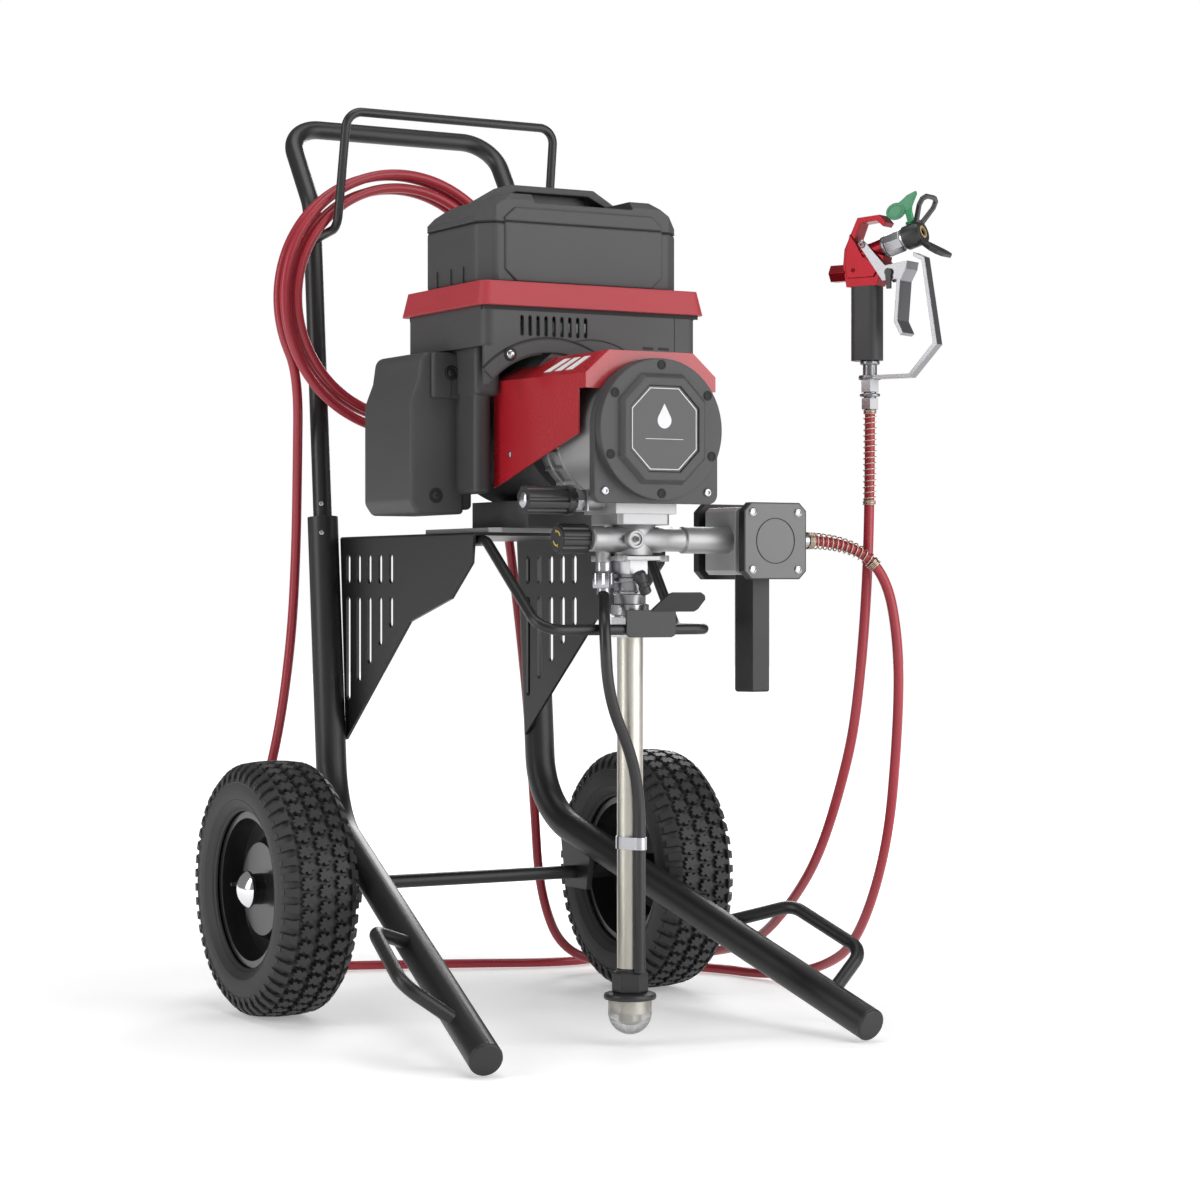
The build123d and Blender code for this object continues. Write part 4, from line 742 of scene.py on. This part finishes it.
# Rounded cheek between the side box and the shroud.
slab(bm, [(-140, -300), (-122, -300), (-112, -288), (-112, -200), (-140, -200)], p(0, 0, 670), RIGHT,
     (0, 1, 0), 134)
cheek = rounded(finished(bm, "motor_cheek", "housing_plastic"), 0.010, 5)
bm = bmesh.new()
turn(bm, [(5.2, 0), (5.2, 1.0), (4.4, 2.0), (1.2, 2.2), (1.0, 0.6), (0, 0.6)], p(-168.0, -248.2, 668.0),
     FRONT, 20)
box_screws = finished(bm, "box_screws", "plate_black")
bm = bmesh.new()
for x, y, z in ((-150.0, -254.6, 820.0), (-168.0, -247.6, 668.0)):
    turn(bm, [(9.6, -1.0), (9.6, 0.5), (0, 0.6)], p(x, y, z), FRONT, 32)
slab(bm, [(-151.0, 789), (-150.0, 789), (-150.0, 811), (-151.0, 811)], p(0, -254.6, 0), RIGHT, UP, 0.6)
pockets = finished(bm, "side_box_pockets", painted_shade_black)
bm = bmesh.new()
slab(bm, [(-176, 788), (-113.5, 788), (-113.5, 845), (-176, 845)], p(0, -246.0, 0), RIGHT, UP, 9.0)
box_head = rounded(finished(bm, "box_head", "housing_plastic"), 0.004, 4)
bm = bmesh.new()
turn(bm, [(8.0, 0), (8.0, 0.8), (6.8, 1.0), (6.6, 0.3), (0, 0.2)], p(-150.0, -255.0, 820.0), FRONT, 28)
turn(bm, [(4.6, 0.3), (4.4, 1.1), (2.6, 1.6), (0, 1.7)], p(-150.0, -255.0, 820.0), FRONT, 20)
head_screw = finished(bm, "box_head_screw", "plate_black")
# Cooling grille of the motor's back end; its slots are flat arcs of painted shade.
bm = bmesh.new()
for radius in (30, 44, 58, 72):
    for start in (8, 98, 188, 278):
        arc = [radians(start + 74 * i / 12) for i in range(13)]
        outline = [(-(radius + 3) * cos(a), (radius + 3) * sin(a)) for a in arc]
        outline += [(-(radius - 3) * cos(a), (radius - 3) * sin(a)) for a in arc[::-1]]
        slab(bm, outline[::-1], p(0, -135.4, 760.0), (-1, 0, 0), UP, 0.8)
grille = finished(bm, "motor_grille", painted_shade_black)

# ---------------------------------------------------------------- shroud
# The roof of the sheet sits close over the round cover.
shoulder_z, roof_z, sheet_top = 808.0, 836.0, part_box("shroud")[1][2] / mm
cad_shroud = bpy.data.objects["shroud"]
bm = bmesh.new()
bm.from_mesh(cad_shroud.data)
bm.transform(cad_shroud.matrix_world)
for vert in bm.verts:
    above = vert.co.z / mm - shoulder_z
    if above > 0:
        vert.co.z = (shoulder_z + above * (roof_z - shoulder_z) / (sheet_top - shoulder_z)) * mm
shroud = finished(bm, "shroud_sheet", "shroud_red")
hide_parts("shroud")
bm = bmesh.new()
turn(bm, [(4.0, 0), (4.0, 0.8), (3.0, 1.8), (1.6, 2.0), (1.5, 0.8), (0, 0.8)], p(-104.6, -324.0, 717.0),
     (-1, 0.1, 0), 20)
socket_screw(bm, p(104.6, -324.0, 717.0), (1, 0.1, 0), 4.0, 1.8)
shroud_screws = finished(bm, "shroud_screws", "screw_steel")
# Three slanted bars on the upper left facet.
front_edge = (p(-90, -488, shoulder_z), p(-58, -488, roof_z))
back_edge = (p(-108, -288, shoulder_z), p(-58, -288, roof_z))
lift = (back_edge[1] - front_edge[1]).cross(front_edge[0] - front_edge[1]).normalized()
if lift.z < 0:
    lift = -lift


def on_facet(along, up):
    low = front_edge[0].lerp(back_edge[0], along)
    return low.lerp(front_edge[1].lerp(back_edge[1], along), up)


bm = bmesh.new()
for start in (0.20, 0.32, 0.44):
    corners = [
        on_facet(start, 0.22), on_facet(start + 0.075, 0.22),
        on_facet(start + 0.035, 0.80), on_facet(start - 0.04, 0.80),
    ]
    low = [bm.verts.new(c + lift * 0.1 * mm) for c in corners]
    high = [bm.verts.new(c + lift * 0.5 * mm) for c in corners]
    bm.faces.new(low)
    bm.faces.new(high)
    for i in range(4):
        bm.faces.new((low[i], low[(i + 1) % 4], high[(i + 1) % 4], high[i]))
decal = finished(bm, "facet_bars", decal_white)
# Cast webs of the bearing bracket under the shroud.
bm = bmesh.new()
for around in (196, 212, 228, 244, 260, 280, 296, 312, 328, 344):
    a = radians(around)
    out = Vector((cos(a), 0, sin(a)))
    side = Vector((-sin(a), 0, cos(a)))
    web_depth = -52 if side.cross(out).y < 0 else 52
    slab(bm, [(-2.0, 60), (2.0, 60), (2.0, 84), (-2.0, 80)], p(0, -402, gear_z), side, out, web_depth)
for y in (-402.0, -372.0):
    turn(bm, [(70, 0), (83, 0), (83, 5), (70, 5)], p(0, y, gear_z), (0, 1, 0), 64)
webs = rounded(finished(bm, "cast_webs", "cast_aluminium"), 0.0010, 2)

# ---------------------------------------------------------------- pump head
pump_y = -437.0
bm = bmesh.new()
slab(bm, cut_box(36, 37, 5), p(0, pump_y, 629.0), RIGHT, (0, 1, 0), 17.0)
slab(bm, cut_box(35, 36, 5), p(0, pump_y, 645.0), RIGHT, (0, 1, 0), 3.0)
slab(bm, cut_box(36, 37, 5), p(0, pump_y, 647.0), RIGHT, (0, 1, 0), 17.0)
turn(bm, [(14, 0), (27, 0), (27, 32), (33, 38), (14, 38)], p(0, pump_y, 592.0), UP, 64)
head = rounded(finished(bm, "pump_head", "cast_aluminium"), 0.0012, 3, 30)
bm = bmesh.new()
pipe = [
    (0, 0), (13, 0), (14.5, 1.5), (14.5, 22), (15.5, 25), (15.5, 98),
    (14.2, 100), (14.2, 126), (16.4, 129), (16.4, 192), (14.6, 195.5), (0, 195.5),
]
turn(bm, pipe, p(-62.5, pump_y - 12, 611.6), RIGHT, 64)
turn(bm, [(0, 0), (9.2, 0), (9.2, 30), (0, 30)], p(-37, pump_y, 572.5), UP, 40)
turn(bm, [(0, 0), (9.0, 0), (9.0, 40), (0, 40)], p(-72, pump_y, 658), RIGHT, 40)
manifold = finished(bm, "pump_manifold", "cast_aluminium")
for piece in (head, manifold):
    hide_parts("pump_block")

# ---------------------------------------------------------------- pump trim
bm = bmesh.new()
turn(bm, [(11.5, -3), (11.5, 5), (10.2, 6.2), (7.6, 6.2), (7.4, 3.5), (3.6, 3.4), (3.6, 6.8), (3.0, 7.4),
          (0, 7.4)],
     p(-15.9, -474.0, 611.6), FRONT, 36)
turn(bm, [(14.4, 0), (14.4, 10), (13.6, 11), (13, 11)], p(58, -437, 612.6), (1, 0, 0), 40)
turn(bm, [(16.5, 0), (16.5, 14), (15, 16), (13, 16)], p(112, -437, 612.6), (1, 0, 0), 40)
for x in (-34, 34):
    for y in (-466, -408):
        hex_profile(bm, p(x * 0.86, y, 585.0), UP, 13.0, 7.5)
slab(bm, cut_box(33, 33, 8), p(0, -437, 586.5), RIGHT, (0, 1, 0), 5.2)
pump_trim = rounded(finished(bm, "pump_trim", "cast_aluminium"), 0.0008, 2, 40)
bm = bmesh.new()
turn(bm, [(2.9, 0), (2.9, 0.6), (0, 0.7)], p(-15.9, -481.5, 611.6), FRONT, 6)
tilt = Vector((0.42, 0.10, -0.90)).normalized()
turn(bm, [(0, 0), (6.6, 0), (7.6, 1.5), (7.6, 12), (6.2, 13), (6.2, 18), (7.2, 19), (7.2, 27), (5.4, 28.5),
          (0, 28.5)],
     p(-9.2, -474.0, 572.0), tilt, 12)
lever = finished(bm, "clamp_lever", "knob_plastic")
bm = bmesh.new()
for z, radius, tall in ((560, 21.5, 6), (545, 20.6, 5), (520, 23.0, 14), (503, 24.0, 6)):
    turn(bm, [(18, 0), (radius - 1, 0), (radius, 1), (radius, tall - 1), (radius - 1, tall), (18, tall)],
         p(0, -437, z), UP, 48)
turn(bm, [(7.4, 0), (8.6, 0), (8.6, 9), (7.4, 9)], p(-37, -438.0, 545.5), UP, 32)
hex_profile(bm, p(-37, -437, 553.0), UP, 22.5, 20.0, 1.6)
turn(bm, [(8.0, 0), (9.6, 0), (9.6, 10), (8.0, 10)], p(-37, -437, 574.0), UP, 32)
rings = finished(bm, "pump_rings", "screw_steel")

# Knobs: chrome cap and steel nut on the pressure control, two plain marks on the prime valve.
bm = bmesh.new()
turn(bm, [(9.8, 0), (9.8, 1.6), (8.6, 2.6), (5.6, 3.8), (2.4, 4.4), (0, 4.5)], p(-145.6, -437, 658),
     (-1, 0, 0), 36)
knob_cap = finished(bm, "pressure_cap", "screw_steel", "control")
bm = bmesh.new()
turn(bm, [(17.4, 0), (17.8, 2), (17.8, 7), (17.0, 9)], p(-92.0, -437, 658), (1, 0, 0), 48)
knob_ring = finished(bm, "pressure_ring", "knob_plastic", "control")
bm = bmesh.new()
hex_profile(bm, p(-79.0, -437, 658), RIGHT, 24.0, 10.0, 1.2)
slab(bm, [(-16, -13), (16, -13), (16, 13), (-16, 13)], p(-68.6, -437, 658), (0, 1, 0), UP, 3.0)
control_nut = rounded(finished(bm, "control_nut", "machined_steel"), 0.0006, 2)
bm = bmesh.new()
turn(bm, [(0, 0), (15.6, 0), (15.6, 0.8), (14.6, 1.6), (0, 1.6)], p(-99.6, -437, 612.6), (-1, 0, 0), 40)
prime_face = finished(bm, "prime_face", "knob_plastic", "prime")
bm = bmesh.new()
for turned in (20, 200):
    arc = [radians(turned + 10 * i) for i in range(9)]
    outline = [(9.4 * cos(a), 9.4 * sin(a)) for a in arc] + [(7.8 * cos(a),
                                                              7.8 * sin(a)) for a in arc[::-1]]
    slab(bm, outline, p(-101.0, -437, 612.6), (0, -1, 0), UP, 0.5)
    tip = radians(turned + 80)
    slab(bm, [(8.6 * cos(tip) + 2.4 * cos(tip + k), 8.6 * sin(tip) + 2.4 * sin(tip + k)) for k in
        (0, 2.1, 4.2)],
         p(-101.0, -437, 612.6), (0, -1, 0), UP, 0.5)
prime_marks = finished(bm, "prime_marks", mark_yellow, "prime")

# ---------------------------------------------------------------- filter block
filter_x = 175.0
bm = bmesh.new()
slab(bm, cut_box(43.4, 41.4, 5), p(filter_x, -466.2, 611), RIGHT, UP, -69.6)
filter_case = rounded(finished(bm, "filter_case", filter_metal), 0.0012, 2)
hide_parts("filter_body")
bm = bmesh.new()
slab(bm, cut_box(43.6, 45.6, 9.4), p(filter_x, -489.6, 611), RIGHT, UP, 0.9)
plate_face = rounded(finished(bm, "filter_face", plate_grey), 0.0005, 2)
# Thin dark ring on the filter face: painted shade in its groove.
bm = bmesh.new()
turn(bm, [(28.0, 0), (28.0, 1.1), (27.2, 1.1), (27.2, 0)], p(filter_x, -490.0, 611), FRONT, 72)
plate_ring = finished(bm, "filter_ring", painted_shade_black)
bm = bmesh.new()
for dx in (-33, 33):
    for dz in (-35, 35):
        spot = p(filter_x + dx, -490.2, 611 + dz)
        turn(bm, [(5.4, 0), (5.4, 1.2), (4.4, 2.0), (3.0, 2.2), (2.8, 1.0), (0, 0.9)], spot, FRONT, 26)
plate_screws = finished(bm, "filter_screws", "screw_steel")
bm = bmesh.new()
plug = [(10.6, 0), (10.6, 3), (9.4, 4.2), (4.2, 4.2), (4.0, 2), (0, 2)]
turn(bm, plug, p(filter_x - 43.5, -433.0, 611), (-1, 0, 0), 6)
turn(bm, [(13.6, 0), (14.4, 1), (14.4, 4), (13, 5)], p(217.4, -437, 612.6), RIGHT, 40)
filter_plug = finished(bm, "filter_plug", "machined_steel")

# ---------------------------------------------------------------- pail hook
bm = bmesh.new()
slab(bm, [(-30, 500), (-28.3, 496), (-24, 494), (33, 494), (37.3, 496), (39, 500), (39, 527), (-30, 527)],
     p(0, -477.5, 0), RIGHT, UP, 3.0)
slab(bm, [(3, 0), (64, 0), (69, 3), (76, 17), (74, 22), (68, 25.5), (28, 25.5), (22, 23)],
     p(0, -477.7, 525.8), RIGHT, Vector((0, -12, 23)).normalized(), 3.0)
hook = rounded(finished(bm, "pail_hook_sheet", "frame_black"), 0.0007, 2)
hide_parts("pail_hook")

# ---------------------------------------------------------------- frame trim
bm = bmesh.new()
for side in (-1, 1):
    toward = Vector((side * 0.49, -0.87, 0)).normalized()
    for z, radius in ((667.0, 12.4), (628.0, 20.4)):
        upright_y = 80.0 + (z - 247.0) * 33.0 / 393.0
        socket_screw(bm, p(side * 159.0, upright_y, z) + toward * radius * mm, toward, 3.6, 1.8)
frame_screws = finished(bm, "frame_screws", "screw_steel")

# ---------------------------------------------------------------- spray gun trim
away = Vector((0.43, -0.90, 0)).normalized()
side_way = Vector((-away.y, away.x, 0))
gun_at = p(353.0, -436.0, 0)
lean = radians(16.0)
barrel_way = away * cos(lean) + UP * sin(lean)
barrel_up = UP * cos(lean) - away * sin(lean)
barrel_at = gun_at + away * 26.0 * mm + UP * 986.0 * mm


def barrel(s, h=0.0, across_by=0.0):
    return barrel_at + (barrel_way * s + barrel_up * h + side_way * across_by) * mm


bm = bmesh.new()
turn(bm, [(11, -4), (13.4, -4), (13.8, -3), (13.8, 0), (13.0, 0.6)], barrel(0), barrel_way, 40)
collar = finished(bm, "gun_collar", "gun_steel")
bm = bmesh.new()
turn(bm, [(13.6, 0.8), (15.0, 2.0), (15.0, 22.0), (14.4, 24.0), (12.0, 25.0)], barrel(0), barrel_way, 8)
turn(bm, [(12.6, 24.5), (14.0, 25.0), (14.0, 27.5)], barrel(0), barrel_way, 40)
guard_nut = finished(bm, "guard_nut", "screw_steel", "guard", smooth=20.0)
bm = bmesh.new()
cap = [(13.9, 27.6), (15.6, 28.6), (15.6, 49.0), (14.2, 52.6), (9.2, 53.6), (8.8, 50.0), (6.2, 49.4)]
turn(bm, cap, barrel(0), barrel_way, 48)
guard_collar = finished(bm, "guard_collar", "guard_black", "guard")
bm = bmesh.new()
turn(bm, [(8.6, 50.6), (8.2, 53.0), (5.4, 53.2), (5.2, 50.6)], barrel(0), barrel_way, 40)
guard_seal = finished(bm, "guard_seal", seal_brass, "guard")


def loop_wing(bm, up):
    """Adds one open wing: a rounded band that flares from the collar."""
    angle = radians(46.0 * up)
    out = (barrel_way * cos(angle) + barrel_up * sin(angle)).normalized()
    root = barrel(46.0, up * 9.0)
    ring = [(0, -9), (8, -12), (28, -21.5), (38, -20), (43.5, -11), (43.5, 11), (38, 20), (28, 21.5),
            (8, 12), (0, 9)]
    hole = [(9, -5), (12, -7), (28, -15.5), (35, -14.5), (38, -8), (38, 8), (35, 14.5), (28, 15.5), (12, 7),
            (9, 5)]
    normal = out.cross(side_way).normalized()
    ring_slab(bm, ring, hole, root - normal * 2.6 * mm, out, side_way, 5.2)


bm = bmesh.new()
for up in (-1, 1):
    loop_wing(bm, up)
wings = rounded(finished(bm, "guard_wings", "guard_black", "guard"), 0.0012, 3)
# Turning handle of the tip: stem, oval paddle behind and pointer in front.
bm = bmesh.new()
turn(bm, [(0, -8.4), (5.9, -8.4), (5.9, 15.5), (7.6, 16.0), (7.6, 18.4), (4.6, 19.0), (4.6, 34), (0, 34)],
     barrel(40), barrel_up, 28)
paddle = [(13.5 * cos(radians(15 * k)) - 17.0, 10.5 * sin(radians(15 * k)) + 38.0) for k in range(24)]
slab(bm, paddle, barrel(40, 0, 2.6), barrel_way, barrel_up, 5.2)
pointer = [(-14, 46), (-10, 31), (4, 29), (6, 36), (17, 49), (17, 53), (4, 52), (-6, 48)]
slab(bm, pointer, barrel(40, 0, 2.0), barrel_way, barrel_up, 4.0)
tip = rounded(finished(bm, "tip_handle", "tip_green", "tip"), 0.0010, 3)
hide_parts("spray_tip")
bm = bmesh.new()
rim_out = [(10.8 * cos(radians(15 * k)) - 17.0, 8.0 * sin(radians(15 * k)) + 38.0) for k in range(24)]
rim_in = [(9.6 * cos(radians(15 * k)) - 17.0, 6.8 * sin(radians(15 * k)) + 38.0) for k in range(24)]
ring_slab(bm, rim_out, rim_in, barrel(40, 0, 3.0), barrel_way, barrel_up, 6.0)
paddle_rim = finished(bm, "tip_paddle_rim", "tip_green", "tip")
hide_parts("tip_guard")
# Raised facets on both sides of the body.
facet = [(-26, 947), (12, 947), (20, 960), (-3, 973), (-13, 990), (-22, 1003), (-27, 984), (-29, 963)]
bm = bmesh.new()
for flip in (-1, 1):
    outline = [(-flip * x, z) for x, z in facet]
    slab(bm, outline, gun_at + side_way * flip * 10.2 * mm, away * -flip, UP, 3.0)
    socket_screw(bm, gun_at + (side_way * flip * 13.2 + away * -17.0) * mm + UP * 957.0 * mm,
                 side_way * flip, 2.6, 1.2)
facets = rounded(finished(bm, "gun_facets", "gun_red"), 0.0018, 3)
# Pivot screws of the trigger yoke.
bm = bmesh.new()
for flip in (-1, 1):
    spot = gun_at + away * -3.0 * mm + UP * 988.0 * mm + side_way * flip * 15.2 * mm
    socket_screw(bm, spot, side_way * flip, 4.6, 2.2)
pivots = finished(bm, "gun_pivot_screws", "gun_steel", "cart")
bm = bmesh.new()
for low, tall, radius in ((780.5, 5, 9.4), (796, 4, 13.0), (818, 4, 14.6), (836.5, 5, 12.4)):
    turn(bm, [(8, 0), (radius - 0.8, 0), (radius, 1), (radius, tall - 1), (radius - 0.8, tall), (8, tall)],
         gun_at + UP * low * mm, UP, 40)
ferrules = finished(bm, "gun_ferrules", "gun_steel")

# ---------------------------------------------------------------- stage and lights
floor_mesh = bpy.data.meshes.new("floor")
reach = 14.0
floor_mesh.from_pydata([(-reach, -reach, 0), (reach, -reach, 0), (reach, reach, 0), (-reach, reach, 0)], [],
                       [(0, 1, 2, 3)])
floor = bpy.data.objects.new("floor", floor_mesh)
floor.location = (0, 0, -0.0005)
bpy.context.scene.collection.objects.link(floor)
paper = surface("floor_paper", (0.86, 0.86, 0.86), 0.9, vary=0.004, bump=0.0)
floor_mesh.materials.append(paper)
# The paper glows with painted light, weak near the object and full away from it, so it fades to plain white
# away from the object.
nodes, link = paper.node_tree.nodes, paper.node_tree.links.new
spot = nodes.new("ShaderNodeTexCoord")
far = nodes.new("ShaderNodeVectorMath")
far.operation = "LENGTH"
link(spot.outputs["Object"], far.inputs[0])
painted_glow = node_input(nodes, "ShaderNodeMapRange")
painted_glow.inputs["From Min"].default_value = 0.5
painted_glow.inputs["From Max"].default_value = 3.2
painted_glow.inputs["To Min"].default_value = 0.30
painted_glow.inputs["To Max"].default_value = 1.0
link(far.outputs["Value"], painted_glow.inputs["Value"])
nodes["Principled BSDF"].inputs["Emission Color"].default_value = (1, 1, 1, 1)
link(painted_glow.outputs["Result"], nodes["Principled BSDF"].inputs["Emission Strength"])

world = bpy.data.worlds.new("studio")
world.use_nodes = True
tree = world.node_tree
backdrop = tree.nodes["Background"]
backdrop.inputs["Color"].default_value = (1, 1, 1, 1)
backdrop.inputs["Strength"].default_value = 1.0
room = tree.nodes.new("ShaderNodeBackground")
room.inputs["Color"].default_value = (1, 1, 1, 1)
room.inputs["Strength"].default_value = 0.22
rays = tree.nodes.new("ShaderNodeLightPath")
choose = tree.nodes.new("ShaderNodeMixShader")
tree.links.new(rays.outputs["Is Camera Ray"], choose.inputs["Fac"])
tree.links.new(room.outputs["Background"], choose.inputs[1])
tree.links.new(backdrop.outputs["Background"], choose.inputs[2])
tree.links.new(choose.outputs["Shader"], tree.nodes["World Output"].inputs["Surface"])
bpy.context.scene.world = world
bpy.context.scene.view_settings.view_transform = "Standard"


def softbox(name, at, aim, size, power):
    data = bpy.data.lights.new(name, "AREA")
    data.shape = "RECTANGLE"
    data.size, data.size_y = size
    data.energy = power
    lamp = bpy.data.objects.new(name, data)
    lamp.location = at
    lamp.rotation_euler = (Vector(aim) - Vector(at)).to_track_quat("-Z", "Y").to_euler()
    bpy.context.scene.collection.objects.link(lamp)


softbox("key", (1.5, -3.0, 1.3), (0, -0.2, 0.65), (3.2, 3.0), 86)
softbox("left", (-3.0, -0.2, 1.5), (0, -0.1, 0.6), (0.8, 2.4), 34)
softbox("top", (-0.2, -0.5, 3.0), (0, -0.1, 0.6), (1.8, 1.8), 30)
softbox("back", (1.9, 2.4, 1.8), (0, 0, 0.7), (1.2, 1.8), 38)
